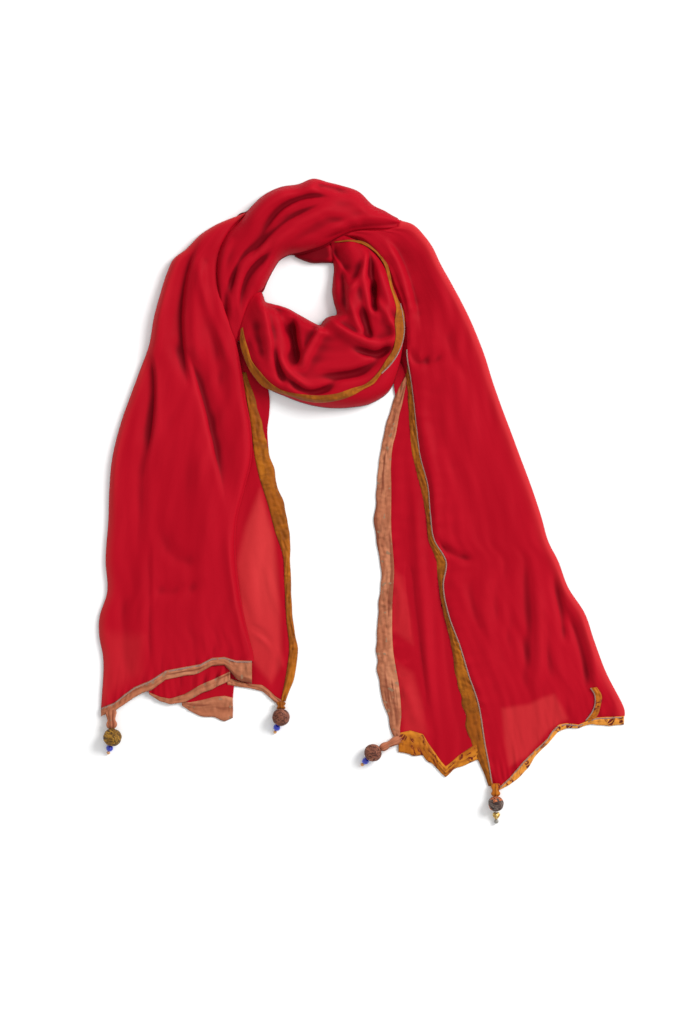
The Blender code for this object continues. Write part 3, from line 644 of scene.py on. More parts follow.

# %% [markdown]
# ## Weave, streaks and crinkles
# Three effects turn up in every cloth here, so each is a node group.
# The weave is a plain one: a product of two sines gives threads that pass over and under.
# Streaks are noise drawn out along the cloth, as uneven threads and soft drape give it.
# Crinkles are the small creases of a sewn, washed band: ridged noise in two directions, with a mask
# of the creases for painted shade.

# %% Cloth groups
tree, given, out = new_group(
    "weave",
    [("Vector", "Vector", None), ("Threads", "Float", 2400.0)],
    [("Height", "Float")],
)
scaled = node(tree, "VectorMath", {"operation": "SCALE"}, _0=given["Vector"])
tree.links.new(given["Threads"], scaled.inputs["Scale"])
split = node(tree, "SeparateXYZ", _0=scaled.outputs[0]).outputs
over = maths(tree, "SINE", maths(tree, "MULTIPLY", split[0], np.pi))
under = maths(tree, "SINE", maths(tree, "MULTIPLY", split[1], np.pi))
tree.links.new(maths(tree, "MULTIPLY_ADD", maths(tree, "MULTIPLY", over, under), 0.5, 0.5), out[0])
weave = tree

tree, given, out = new_group(
    "streaks",
    [("Vector", "Vector", None), ("Scale", "Float", 60.0), ("Length", "Float", 8.0)],
    [("Value", "Float")],
)
shorter = maths(tree, "DIVIDE", 1.0, given["Length"])
squeeze = node(tree, "CombineXYZ", _0=shorter, _1=1.0, _2=1.0).outputs[0]
drawn = node(tree, "VectorMath", {"operation": "MULTIPLY"}, _0=given["Vector"], _1=squeeze)
noise = node(tree, "TexNoise", Vector=drawn.outputs[0], Scale=given["Scale"], Detail=3.0)
tree.links.new(noise.outputs[0], out[0])
streaks = tree

tree, given, out = new_group(
    "crinkles",
    [("Vector", "Vector", None), ("Scale", "Float", 120.0), ("Length", "Float", 3.0)],
    [("Height", "Float"), ("Crease Shade", "Float")],
)
longwise = use(tree, streaks, Vector=given["Vector"], Scale=given["Scale"], Length=given["Length"])
ridged = maths(tree, "ABSOLUTE", maths(tree, "MULTIPLY_ADD", longwise[0], 2.0, -1.0))
turned = node(tree, "VectorRotate", {"rotation_type": "Z_AXIS"}, Vector=given["Vector"], Angle=1.2)
crosswise = use(tree, streaks, Vector=turned.outputs[0], Scale=given["Scale"], Length=2.0)
folded = maths(tree, "ABSOLUTE", maths(tree, "MULTIPLY_ADD", crosswise[0], 2.0, -1.0))
both = maths(tree, "MULTIPLY_ADD", folded, 0.6, ridged)
tree.links.new(both, out["Height"])
# The crease mask is used for painted shade.
tree.links.new(maths(tree, "SUBTRACT", 1.0, between(tree, both, 0.02, 0.28)), out["Crease Shade"])
crinkles = tree
print("groups:", weave.name, streaks.name, crinkles.name)

# %% [markdown]
# ## Red silk
# The silk is thin and even, with a low soft sheen. Where it lies in several layers it is a deep red.
# Where a single layer lies on the pale table, the table's light shows through it. Real transparency
# would also show the table between the threads of the model, so this light is painted instead, as a
# paler colour from the `sheer` number kept at each point. In a hollow more layers lie over each
# other and less light comes back: the `fold` number paints the hollows a deeper red, as painted
# shade, and the crowns a little lighter, as painted highlight.

# %% Red silk
red_silk, tree, shader, uv = new_material("red_silk")
tone = use(tree, streaks, Vector=uv, Scale=45.0, Length=7.0)[0]
fine = use(tree, streaks, Vector=uv, Scale=400.0, Length=3.0)[0]
deep = mix(tree, between(tree, tone, 0.3, 0.7), light(157, 3, 24), light(166, 7, 28))
# Painted shade and highlight from `fold`: hollows are painted towards (88, 0, 10) and crowns towards
# (182, 20, 36).
fold = node(tree, "Attribute", {"attribute_name": "fold"}).outputs["Fac"]
painted_hollow_shade = between(tree, maths(tree, "MULTIPLY", fold, -1.0), 0.04, 0.9)
deep = mix(tree, maths(tree, "MULTIPLY", painted_hollow_shade, 0.85), deep, light(88, 0, 10))
painted_crown_highlight = between(tree, fold, 0.05, 0.8)
deep = mix(tree, maths(tree, "MULTIPLY", painted_crown_highlight, 0.4), deep, light(182, 20, 36))
# Painted light: where a single layer lies on the pale table, the colour is painted paler, towards
# (190, 48, 50).
sheer = node(tree, "Attribute", {"attribute_name": "sheer"}).outputs["Fac"]
pale = mix(tree, sheer, deep, light(190, 48, 50))
streaked = mix(tree, maths(tree, "MULTIPLY", fine, 0.15), pale, light(130, 2, 18))
tree.links.new(streaked, shader.inputs[0])
rough = maths(tree, "MULTIPLY_ADD", tone, 0.15, 0.5)
tree.links.new(rough, shader.inputs["Roughness"])
shader.inputs["Specular IOR Level"].default_value = 0.05
shader.inputs["Sheen Weight"].default_value = 0.03
shader.inputs["Sheen Roughness"].default_value = 0.5
shader.inputs["Sheen Tint"].default_value = light(255, 90, 90)
threads = use(tree, weave, Vector=uv)[0]
soft = use(tree, streaks, Vector=uv, Scale=140.0, Length=5.0)[0]
height = maths(tree, "MULTIPLY_ADD", threads, 0.12, soft)
bump(tree, shader, height, 0.0004, 0.4)
print(red_silk.name, "has", len(tree.nodes), "nodes")

# %% [markdown]
# ## The bands
# Each band is a strip of crinkled silk folded over the edge and stitched down. Its creases are
# painted darker, as painted shade, and its colour wavers in soft streaks between a middle and a
# paler tone. One function makes the ochre one, the peach one and the ground of the printed one. The
# peach one also has long creases, painted as dark lines of shade, and a few worn specks.

# %% Band silk


def band_silk(name, dark, middle, pale, creases):
    """A crinkled silk band. Returns the material, its tree, shader, UV map and colour."""
    made, tree, shader, uv = new_material(name)
    folds = use(tree, crinkles, Vector=uv, Scale=75.0, Length=5.0)
    tone = use(tree, streaks, Vector=uv, Scale=45.0, Length=3.0)[0]
    ground = mix(tree, between(tree, tone, 0.35, 0.65), light(*middle), light(*pale))
    # Painted shade: the creases of the crinkles are painted towards the dark colour.
    colour = mix(tree, maths(tree, "MULTIPLY", folds["Crease Shade"], creases), ground, light(*dark))
    tree.links.new(colour, shader.inputs[0])
    shader.inputs["Roughness"].default_value = 0.65
    shader.inputs["Specular IOR Level"].default_value = 0.12
    shader.inputs["Sheen Weight"].default_value = 0.05
    threads = use(tree, weave, Vector=uv, Threads=1800.0)[0]
    bump(tree, shader, maths(tree, "MULTIPLY_ADD", threads, 0.03, folds["Height"]), 0.0012, 0.6)
    return made, tree, shader, uv, colour


ochre_silk = band_silk("ochre_silk", (88, 42, 2), (140, 72, 6), (162, 92, 13), 0.5)[0]
peach_silk, tree, shader, uv, ground = band_silk(
    "peach_silk", (124, 66, 42), (166, 98, 68), (182, 118, 86), 0.5
)
# Painted shade: long creases drawn as dark lines, (128, 68, 46).
painted_crease_lines = use(tree, streaks, Vector=uv, Scale=110.0, Length=12.0)[0]
crease_shaded = mix(tree, between(tree, painted_crease_lines, 0.52, 0.6), ground, light(128, 68, 46))
blotches = node(tree, "TexNoise", Vector=uv, Scale=150.0, Detail=0.0).outputs[0]
specks = between(tree, blotches, 0.72, 0.75)
tree.links.new(mix(tree, specks, crease_shaded, light(140, 104, 80)), shader.inputs[0])
print("bands:", ochre_silk.name, peach_silk.name)

# %% [markdown]
# The bands are stitched down with a pale thread. A wave along it gives the look of its strands,
# which are too fine to model.

# %% Seam thread
seam_thread, tree, shader, uv = new_material("seam_thread")
strands = node(tree, "TexWave", Vector=uv, Scale=320.0, Distortion=1.5).outputs["Fac"]
grey = mix(tree, strands, light(118, 82, 76), light(180, 148, 136))
tree.links.new(grey, shader.inputs[0])
shader.inputs["Roughness"].default_value = 0.8
bump(tree, shader, strands, 0.0005)
print("thread:", seam_thread.name)

# %% [markdown]
# ## The leaf print
# The printed band carries small dark leaves on orange. A leaf is drawn once in a square cell:
# the width of its blade is sin(pi x) along its length, with a pale vein down the middle. The
# cloth is cut into cells, and a random number in each one turns its leaf. Noise bends the leaves
# and leaves some of them out. Where the band is worn, its ground is paler.

# %% Printed silk
tree, given, out = new_group(
    "leaves",
    [("Vector", "Vector", None), ("Size", "Float", 0.008), ("Seed", "Float", 0.0)],
    [("Mask", "Float")],
)
cells = node(tree, "VectorMath", {"operation": "SCALE"}, _0=given["Vector"])
tree.links.new(maths(tree, "DIVIDE", 1.0, given["Size"]), cells.inputs["Scale"])
shifted = node(tree, "VectorMath", {"operation": "ADD"}, _0=cells.outputs[0], _1=given["Seed"])
which = node(tree, "VectorMath", {"operation": "FLOOR"}, _0=shifted.outputs[0]).outputs[0]
inside = node(tree, "VectorMath", {"operation": "FRACTION"}, _0=shifted.outputs[0]).outputs[0]
drawn = node(tree, "TexWhiteNoise", {"noise_dimensions": "3D"}, Vector=which).outputs
angle = maths(tree, "MULTIPLY", drawn["Value"], 2 * np.pi)
LEAF_START, LEAF_LONG, LEAF_HALF, VEIN_HALF = 0.08, 0.84, 0.24, 0.035  # shares of a cell
about_z = {"rotation_type": "Z_AXIS"}
leaf = node(tree, "VectorRotate", about_z, Vector=inside, Center=(0.5, 0.5, 0.0), Angle=angle)
x, y, _ = node(tree, "SeparateXYZ", _0=leaf.outputs[0]).outputs
along = maths(tree, "DIVIDE", maths(tree, "SUBTRACT", x, LEAF_START), LEAF_LONG)
begun, ended = maths(tree, "GREATER_THAN", along, 0.0), maths(tree, "LESS_THAN", along, 1.0)
on = maths(tree, "MULTIPLY", begun, ended)
bow = maths(tree, "SINE", maths(tree, "MULTIPLY", along, np.pi))
blade = maths(tree, "MULTIPLY", bow, LEAF_HALF)
off = maths(tree, "ABSOLUTE", maths(tree, "SUBTRACT", y, 0.5))
filled = maths(tree, "MULTIPLY", maths(tree, "LESS_THAN", off, blade), on)
vein = maths(tree, "GREATER_THAN", off, VEIN_HALF)
tree.links.new(maths(tree, "MULTIPLY", filled, vein), out[0])
leaves = tree

printed_silk, tree, shader, uv, ground = band_silk(
    "printed_silk", (112, 46, 4), (168, 92, 12), (196, 122, 30), 0.4
)
BENT = 0.006  # how far noise bends the leaves, in metres
bend = node(tree, "TexNoise", Vector=uv, Scale=110.0).outputs["Color"]
move = {"operation": "MULTIPLY_ADD"}
bent = node(tree, "VectorMath", move, _0=bend, _1=(BENT, BENT, 0.0), _2=uv)
first = use(tree, leaves, Vector=bent.outputs[0], Size=0.0125)[0]
second = use(tree, leaves, Vector=bent.outputs[0], Size=0.0085, Seed=7.37)[0]
marks = maths(tree, "MAXIMUM", first, maths(tree, "MULTIPLY", second, 0.8))
patches = node(tree, "TexNoise", Vector=uv, Scale=70.0).outputs[0]
marks = maths(tree, "MULTIPLY", marks, between(tree, patches, 0.46, 0.54))
worn = node(tree, "Attribute", {"attribute_name": "sheer"}).outputs["Fac"]
ground = mix(tree, worn, ground, light(226, 152, 62))
tree.links.new(mix(tree, marks, ground, light(96, 22, 14)), shader.inputs[0])
print("printed band:", printed_silk.name, "with", len(tree.nodes), "nodes")

# %% [markdown]
# ## Beads
# The large beads are wood wound with frayed strips: dull, streaky and uneven in colour. The dark
# one is wound with scraps of several colours. The small beads are glossy blue glass, gold seeds
# and a worn metal heart.

# %% Bead finishes


def wound_cloth(name, dark, middle, pale, patch_colour=None):
    """Frayed strips wound on a bead: streaks in two directions over a patchy ground."""
    made, tree, shader, _ = new_material(name)
    place = node(tree, "TexCoord").outputs["Object"]
    turned = node(tree, "VectorRotate", Vector=place, Axis=(0.4, 0.7, 0.6), Angle=1.0).outputs[0]
    one = use(tree, streaks, Vector=place, Scale=900.0, Length=9.0)[0]
    two = use(tree, streaks, Vector=turned, Scale=700.0, Length=7.0)[0]
    where = node(tree, "TexNoise", Vector=place, Scale=130.0, Detail=1.0).outputs[0]
    fibre = mix(tree, between(tree, where, 0.46, 0.54), one, two)
    ground = mix(tree, between(tree, where, 0.35, 0.65), light(*middle), light(*pale))
    if patch_colour:
        spots = node(tree, "TexVoronoi", Vector=place, Scale=150.0).outputs["Color"]
        chosen = between(tree, node(tree, "SeparateColor", _0=spots).outputs[0], 0.72, 0.76)
        ground = mix(tree, chosen, ground, light(*patch_colour))
    colour = mix(tree, between(tree, fibre, 0.4, 0.58), light(*dark), ground)
    tree.links.new(colour, shader.inputs[0])
    shader.inputs["Roughness"].default_value = 0.7
    shader.inputs["Specular IOR Level"].default_value = 0.3
    bump(tree, shader, fibre, 0.0012)
    return made


def glass(name, colour, roughness):
    """Opaque glossy glass with faint swirls in it."""
    made, tree, shader, _ = new_material(name)
    place = node(tree, "TexCoord").outputs["Object"]
    swirl = node(tree, "TexNoise", Vector=place, Scale=500.0, Distortion=1.5).outputs[0]
    darker = tuple(0.6 * c for c in colour)
    tree.links.new(mix(tree, swirl, light(*darker), light(*colour)), shader.inputs[0])
    shader.inputs["Roughness"].default_value = roughness
    shader.inputs["Coat Weight"].default_value = 0.6
    return made


olive_bead = wound_cloth("olive_bead", (66, 42, 6), (120, 82, 14), (156, 112, 30))
brown_bead = wound_cloth("brown_bead", (66, 30, 20), (118, 66, 48), (142, 86, 64))
dark_bead = wound_cloth("dark_bead", (40, 26, 24), (84, 62, 54), (120, 104, 96), (204, 112, 66))
blue_glass = glass("blue_glass", (20, 44, 205), 0.08)
gold_seed = glass("gold_seed", (232, 160, 88), 0.25)
grey_glass = glass("grey_glass", (150, 144, 134), 0.3)

worn_metal, tree, shader, _ = new_material("worn_metal")
place = node(tree, "TexCoord").outputs["Object"]
wear = node(tree, "TexNoise", Vector=place, Scale=600.0, Detail=3.0).outputs[0]
worn = between(tree, wear, 0.4, 0.62)
tree.links.new(mix(tree, worn, light(176, 134, 62), light(226, 200, 138)), shader.inputs[0])
tree.links.new(maths(tree, "MULTIPLY_ADD", worn, -0.2, 0.45), shader.inputs["Roughness"])
shader.inputs["Metallic"].default_value = 0.9
bump(tree, shader, wear, 0.0005)

# %% [markdown]
# ## The gathered band over the neck
# On the real scarf about half a metre of width is gathered here into a bundle 80 mm wide, so it
# is the thickest part. It fans out from under the left tail, arches over the neck hole and dips
# over the right tail's shoulder. Its outer end tucks under the left tail. The loop lies under
# its inner edge.

# %% Neck band
NECK_BAND = [  # from right to left, the outer end of each section first
    Section(40, 309, 46, 300, 10, 3, 9),
    Section(26, 318, 26, 298.5, 15, 1, 11),
    Section(12, 325, 7, 298, 19, 1, 11),
    Section(-4, 340, -13, 295, 23, 1, 12),
    Section(-21, 346, -28, 288, 26, 1, 12),
    Section(-37, 350, -42, 280, 28, 1, 12),
    Section(-54, 354, -56, 275, 29, 1, 11),
    Section(-70, 348, -68, 272, 29, 1, 8),
    Section(-89, 345, -79, 270, 29, 1, 1),
    Section(-108, 336, -90, 264.5, 28, 1, 1),
    Section(-122, 323, -96, 256, 27, 1, 1),
    Section(-134, 307, -103, 243, 25, 6, 1),
    Section(-151, 289, -110, 231, 23, 9, 5),
    Section(-159, 271, -117, 226, 21, 9, 11),
    Section(-161, 254, -123.5, 217, 19, 9, 11),
    Section(-159, 232, -128, 205, 17, 9, 11),
    Section(-155, 210, -131, 193, 15, 9, 10),
    Section(-147, 188, -136, 179, 12, 8, 9),
    Section(-142, 176, -139, 173, 9, 8, 8),
]
NECK_BAND_FOLDS = [
    Fold(-56, 342, -36, 344, -8, 333, -4, 6),
    Fold(-66, 346, -104, 328, -136, 284, 3.5, 8),
    Fold(-22, 331, -78, 326, -116, 280, -4.5, 4.2, -0.35),
    Fold(-40, 328, -78, 312, -114, 280, 3.5, 4),
    Fold(-40, 326, -90, 302, -132, 252, -5, 4.5, -0.35),
    Fold(-110, 284, -138, 254, -142, 212, -4.5, 4.5, 0.3),
    Fold(-134, 262, -148, 226, -147, 184, -4.5, 4.5),
    Fold(-14, 332, -72, 300, -116, 266, 5, 8),
    Fold(-96, 278, -138, 252, -140, 196, 5, 7),
    Fold(-140, 292, -155, 258, -155, 206, 4, 5.5),
    Fold(-90, 276, -124, 248, -132, 200, -4.5, 5, 0.35),
    Fold(50, 306, 0, 308, -54, 286, 3.5, 6),
    Fold(70, 304, 10, 298, -52, 284, -3, 4),
    Fold(30, 312, -10, 318, -56, 302, 2.5, 8),
]
BUNDLE_ROUND = 17.0
FINE, PLAIN = 1.25, 1.6  # grid cells of the loop and of the tails

grid = stretch(NECK_BAND, NECK_BAND_FOLDS, FINE, BUNDLE_ROUND, 1, ripple=0.2, wave=18)
grid = tucked(rolled(tucked(grid, "left", reach=7), "right", 2.0), "head", 8, fall=11)
cut = {"flat": (0.078, 0.29), "held": "gathered", "rests_on": ["neck_band"]}
# The gathered band's colour is painted a little deeper, as shade.
lay_silk("neck_band_silk", grid, "neck_band", painted_shade=0.22, **cut)

NECK_BACK = [  # from left to right, the end at the hole first
    Section(-74, 268, -73, 270.6, 4, 1, 3),
    Section(-65, 264, -64, 271, 7, 1, 6),
    Section(-55, 261, -55, 274, 9, 1, 8),
    Section(-45, 261, -45, 277.6, 9, 1, 8),
    Section(-34, 261, -36, 280, 9, 2, 8),
]
grid = tucked(stretch(NECK_BACK, [], FINE, 6, 2, ripple=0.2), "right")
cut = {"flat": (0.03, 0.045), "held": "folded", "rests_on": ["neck_back"]}
# The cloth in the neck hole lies in the band's shadow, which is painted as a deep shade.
lay_silk("neck_back_silk", tucked(grid, "hem"), "neck_back", painted_shade=1.3, **cut)

# %% [markdown]
# ## The cowl
# Below the neck hole the cloth hangs in a deep cowl. It is a ring of sections from the hole out
# to the loop's outer edge. Its folds are the largest of the scarf: a rounded lobe at the left,
# a V whose arms meet under the hole with a pocket between them, a smooth panel, and a curl of
# cloth at the right.

# %% Cowl
COWL = [  # round the hole from its top right, the end at the hole first
    Section(-35, 283, -19, 291, 12, 6, 9),
    Section(-34, 271, -2, 284, 15, 1, 9),
    Section(-31, 256, 9, 276, 18, 1, 9),
    Section(-32, 243, 20, 264, 20, 1, 9),
    Section(-33, 230, 28, 251, 22, 1, 9),
    Section(-31, 218, 34, 237, 23, 1, 9),
    Section(-28, 207, 40, 221, 24, 1, 9),
    Section(-29, 204, 44, 203, 25, 1, 9),
    Section(-33, 203, 46, 184, 26, 1, 9),
    Section(-39, 201, 44, 163, 26, 1, 9),
    Section(-43, 197, 39, 141, 26, 1, 8),
    Section(-47, 193, 29, 119, 26, 1, 1),
    Section(-54, 196, 11, 107, 26, 1, 1),
    Section(-63, 201, -13, 102, 26, 1, 1),
    Section(-72, 206, -41, 102, 26, 1, 1),
    Section(-81, 211, -65, 107, 26, 1, 1),
    Section(-90, 214, -85, 114, 25, 1, 1),
    Section(-99, 216, -102, 121, 24, 1, 1),
    Section(-106, 218, -117, 133, 22, 1, 5),
    Section(-108, 223, -127, 149, 19, 1, 6),
    Section(-110, 228, -135, 175, 14, 2, 6),
]
COWL_END = [(-110, 229), (-116, 226), (-122, 217), (-128, 205), (-132, 192), (-136, 178)]
COWL_FOLDS = [
    Fold(-113, 230, -104, 190, -94, 130, 6, 8, -0.45),
    Fold(-119, 204, -114, 176, -104, 146, -3.5, 6),
    Fold(-126, 186, -122, 160, -112, 136, -2.5, 5),
    Fold(-110, 226, -90, 208, -78, 166, -5.5, 6.5, 0.2),
    Fold(-95, 176, -92, 148, -82, 122, -5, 4.5),
    Fold(-94, 182, -84, 144, -48, 120, 5, 4.5, 0.2),
    Fold(-78, 206, -74, 174, -70, 142, -13, 6.5, -0.3),
    Fold(-32, 210, -56, 170, -72, 140, 6, 6, 0.4),
    Fold(-88, 144, -57, 118, -20, 138, -6, 5),
    Fold(-60, 134, -20, 138, 14, 142, -3, 6),
    Fold(-48, 138, 0, 142, 36, 178, -4, 5.5),
    Fold(-84, 128, -45, 111, 4, 122, 3, 5),
    Fold(-44, 206, -10, 181, 26, 172, 6, 5.5, -0.3),
    Fold(-16, 171, 16, 160, 32, 176, -6, 4.5, 0.2),
    Fold(8, 170, 36, 178, 28, 202, 5, 4.5),
    Fold(32, 188, 26, 206, 4, 230, 4.5, 5),
    Fold(-4, 218, 5, 194, 8, 172, -6, 5.5, -0.3),
    Fold(-22, 236, -6, 197, 6, 176, 3.5, 4.5),
    Fold(10, 274, 12, 241, 16, 196, -5, 4.5, 0.2),
    Fold(14, 244, 12, 222, 15, 202, -8, 3.6),
    Fold(4, 270, 5, 226, 24, 194, 4.5, 5),
    Fold(14, 268, 26, 231, 34, 200, 4, 6),
    Fold(-42, 286, -24, 264, -14, 246, -4.5, 4.5, 0.35),
    Fold(-22, 288, -8, 274, -4, 254, 3, 9),
    Fold(6, 288, 2, 254, -20, 224, 4.5, 5.5, 0.35),
    Fold(6, 290, 8, 262, 6, 236, -4.5, 3.6),
    Fold(-24, 262, -21, 232, -18, 202, -5, 5, -0.3),
    Fold(-12, 250, -10, 222, 2, 196, 5, 8),
]
cowl_top = stretch(COWL, COWL_FOLDS, FINE, BUNDLE_ROUND, 3, hem=COWL_END, ripple=0.15)
grid = tucked(tucked(cowl_top, "head"), "hem", reach=12)
cut = {"flat": (0.12, 0.36), "held": "gathered", "rests_on": ["cowl"]}
# The cowl's colour is painted a little deeper, as shade.
lay_silk("cowl_silk", grid, "cowl", painted_shade=0.2, **cut)

# %% [markdown]
# The ochre band of the scarf's long edge runs round the cowl, just inside its outer side. It is
# laid on the cowl: its two sides are drawn in plan, and their height is read from the surface
# below. A line of overlocking shows along its outer side at the right.

# %% Band round the loop
LOOP_BAND = [  # from under the neck band round to the left, the inner side first
    (-29, 283, -31, 284),
    (-10, 284, -10, 286),
    (1, 281, 2, 284),
    (16, 271, 18, 272),
    (25, 257, 28, 259),
    (28, 247, 31, 248),
    (31.5, 233, 34.5, 232.5),
    (35, 222, 39, 221.5),
    (37.5, 212, 44.5, 211),
    (36, 195, 47, 193),
    (37, 180, 45, 175),
    (34, 166, 38, 160),
    (26, 153, 30, 147),
    (19, 142, 20, 137),
    (12, 134, 13, 128),
    (3, 127, 2, 122),
    (-10, 123, -10, 115),
    (-28, 117, -28, 109),
    (-45, 115, -45, 107),
    (-63, 116, -63, 109),
    (-80, 118, -78, 114),
    (-91, 122, -91, 118),
    (-100, 128, -103, 122),
    (-112, 141, -114, 130),
    (-121, 153, -124, 144),
    (-125, 166, -130, 158),
    (-129, 179, -134, 173),
    (-131, 190, -133, 188),
]
LOOP_SEAM = [(42, 216), (45, 201), (46.3, 188), (44.3, 174), (38.3, 159), (30.5, 148), (21.5, 139)]
LAID, SEAM_LAID = 1.5, 2.2  # how far the band and its seam stand off the cloth below


def laid_line(points, surface, lift):
    """Points of a line in plan, with the height of the surface below and the lift."""
    return np.concatenate([points, height_on(surface, points)[:, None] + lift], axis=1)


sides = curve_through(LOOP_BAND)
flat = [np.pad(sides[:, i : i + 2], ((0, 0), (0, 1))) for i in (0, 2)]
grid = swollen(*flat, 1, puff=0.9, crease=0.3)
grid[..., 2] += height_on(cowl_top, grid) + LAID - FLOOR_GAP
sew_band("loop_band", grid, ochre_silk, 0.008, 0.44, "band_ochre_loop")
seam("loop_seam", laid_line(curve_through(LOOP_SEAM, 0.5), cowl_top, SEAM_LAID))

# %% [markdown]
# ## The left tail
# The cloth falls from the shoulder in long soft pleats and spreads into a double panel. Two
# layers are folded back at its hem. A single layer, with the ochre edge, shows at its right.

# %% Left tail
LEFT_FRONT = [  # from the shoulder down to the hem
    Section(-132, 315, -130, 312, 9, 1, 6),
    Section(-161, 303, -144, 298, 16, 1, 12),
    Section(-178, 292, -152, 283, 18, 1, 13),
    Section(-194, 276, -157, 267, 18, 1, 14),
    Section(-207, 266, -159, 251, 18, 1, 14),
    Section(-215, 249, -158, 233, 17, 1, 14),
    Section(-222, 227, -153, 210, 16, 1, 14),
    Section(-229, 201, -145, 188, 15, 1, 13),
    Section(-234, 172, -139, 167, 14, 1, 11),
    Section(-244, 144, -134, 141, 12, 1, 8),
    Section(-254, 117, -130, 114, 11, 1, 5),
    Section(-265, 86, -124, 83, 10, 1, 4),
    Section(-275, 45, -123, 45, 10, 1, 4),
    Section(-278, 12, -131, 12, 9, 1, 4),
    Section(-279, -21, -139, -21, 9, 1, 4),
    Section(-282, -65, -140, -65, 8.5, 1, 4),
    Section(-280, -103, -135, -106, 8, 1, 4),
    Section(-287, -126, -131, -128, 8, 1, 4),
    Section(-287, -147, -126, -150, 7.5, 1, 4),
    Section(-282, -172, -122, -165, 7, 1.5, 4),
    Section(-284, -227, -121, -177, 6.2, 1.6, 5),
]
LEFT_HEM = [
    Hem(-287, -229, 9),
    Hem(-272, -223, 8),
    Hem(-261, -214, 10),
    Hem(-250, -206, 10),
    Hem(-233, -199, 10),
    Hem(-216, -188, 9),
    Hem(-195, -184, 9),
    Hem(-178, -181, 8),
    Hem(-165, -174, 8),
    Hem(-151, -173, 8),
    Hem(-138, -177, 18),
    Hem(-121, -177, 26),
]
LEFT_FOLDS = [
    Fold(-172, 300, -199, 218, -188, 112, -6, 7.5, -0.5),
    Fold(-195, 172, -171, 104, -146, -16, -6, 8, 0.5),
    Fold(-176, 284, -184, 200, -174, 120, 3.5, 8),
    Fold(-170, 226, -160, 164, -150, 90, -4, 8),
    Fold(-172, 266, -172, 222, -132, 124, 3.5, 6),
    Fold(-214, 246, -222, 190, -218, 124, 2, 12),
    Fold(-210, 180, -196, 150, -184, 118, -2, 7),
    Fold(-237, 168, -230, 112, -244, 16, -5, 7, -0.5),
    Fold(-228, 160, -224, 110, -222, 20, 2, 8),
    Fold(-243, 66, -244, 0, -254, -90, -2.6, 11, -0.3),
    Fold(-266, 116, -273, 50, -274, -30, 1.5, 8),
    Fold(-184, 80, -172, 10, -166, -80, 2.2, 10),
    Fold(-226, -6, -208, -58, -172, -62, -2, 9),
    Fold(-236, -94, -205, -99, -164, -88, -1.6, 8),
    Fold(-147, -24, -140, -90, -128, -164, 2, 7),
    Fold(-262, -70, -262, -140, -256, -212, -2.2, 7),
    Fold(-232, -50, -238, -120, -236, -196, 1.6, 8),
    Fold(-234, -30, -233, -110, -233, -190, -1.6, 4, -0.4),
]
PANEL_ROUND = 9.0
left_front = stretch(LEFT_FRONT, LEFT_FOLDS, PLAIN, PANEL_ROUND, 4, hem=LEFT_HEM)
left_front = puckered(left_front, "hem", 0.3, seed=1)
grid = tucked(rolled(left_front, "right"), "head")
LEFT_LIGHT_PATCH = [(-282, -145), (-241, -150), (-243, -190), (-280, -214)]
# Painted light: a paler rim along the left side, and a paler patch where a single layer lies near
# the hem.
sheer = painted_edge_light(grid, "left", 0.7, 6) + 0.22 * patch(grid, LEFT_LIGHT_PATCH, 20)
cut = {"flat": (0.15, 0.54), "held": "folded", "rests_on": ["left_tail_core"]}
lay_silk("left_tail_silk", grid, "left_tail_front", "left_tail_core", sheer=sheer, **cut)

LEFT_UPPER = [
    level(-232, -141, -140, -141, 4.2),
    level(-233, -180, -140, -172, 4.2),
    level(-234, -212, -145, -186, 4.2),
]
UPPER_HEM = [
    Hem(-234, -212, 1),
    Hem(-222, -217, 4),
    Hem(-211, -219, 5),
    Hem(-195, -214, 8),
    Hem(-178, -204, 9),
    Hem(-162, -197, 9),
    Hem(-145, -189, 9),
]
LEFT_LOWER = [
    level(-196, -141, -139, -141),
    level(-197, -185, -139, -180),
    level(-198, -222, -142, -217),
]
LOWER_HEM = [
    Hem(-198, -223, 3),
    Hem(-189, -223, 9),
    Hem(-178, -221, 16),
    Hem(-162, -217, 22),
    Hem(-151, -216, 26),
    Hem(-142, -218, 21),
]
left_upper = stretch(LEFT_UPPER, [], PLAIN, 4, 5, hem=UPPER_HEM, ripple=0.2)
left_upper = puckered(left_upper, "hem", 0.5, seed=2)
cut = {"flat": (0.09, 0.06), "held": "folded", "rests_on": ["left_tail_fold_lower"]}
lay_silk("left_tail_upper_fold", left_upper, "left_tail_fold_upper", **cut)
left_lower = stretch(LEFT_LOWER, [], PLAIN, 4, 6, hem=LOWER_HEM, ripple=0.2)
cut = {"flat": (0.056, 0.08), "held": "folded"}
lay_silk("left_tail_lower_fold", left_lower, "left_tail_fold_lower", **cut)

LEFT_SIDE = [
    level(-151, 141, -133, 141, 1.6, 6),
    level(-148, 111, -126, 111, 1.4, 9),
    level(-145, 78, -121, 78, 1.3, 13),
    level(-143, 50, -117, 50, 1.3, 16),
    level(-148, 23, -111, 23, 1.3, 16.5),
    level(-154, -5, -102, -5, 1.3, 16),
    level(-158, -32, -95, -32, 1.3, 15),
    level(-159, -60, -86, -60, 1.3, 7),
    level(-152, -93, -84, -93, 1.3, 6),
    level(-141, -131, -82, -131, 1.3, 6),
    level(-141, -164, -79, -164, 1.3, 8),
    level(-146, -186, -82, -188, 1.3, 9),
    level(-148, -197, -88, -220, 1.3, 4),
]
SIDE_HEM = [
    Hem(-148, -196, 7),
    Hem(-134, -200, 5),
    Hem(-121, -203, 4),
    Hem(-110, -204, 6),
    Hem(-103, -209, 6),
    Hem(-96, -216, 6),
    Hem(-88, -221, 5),
]
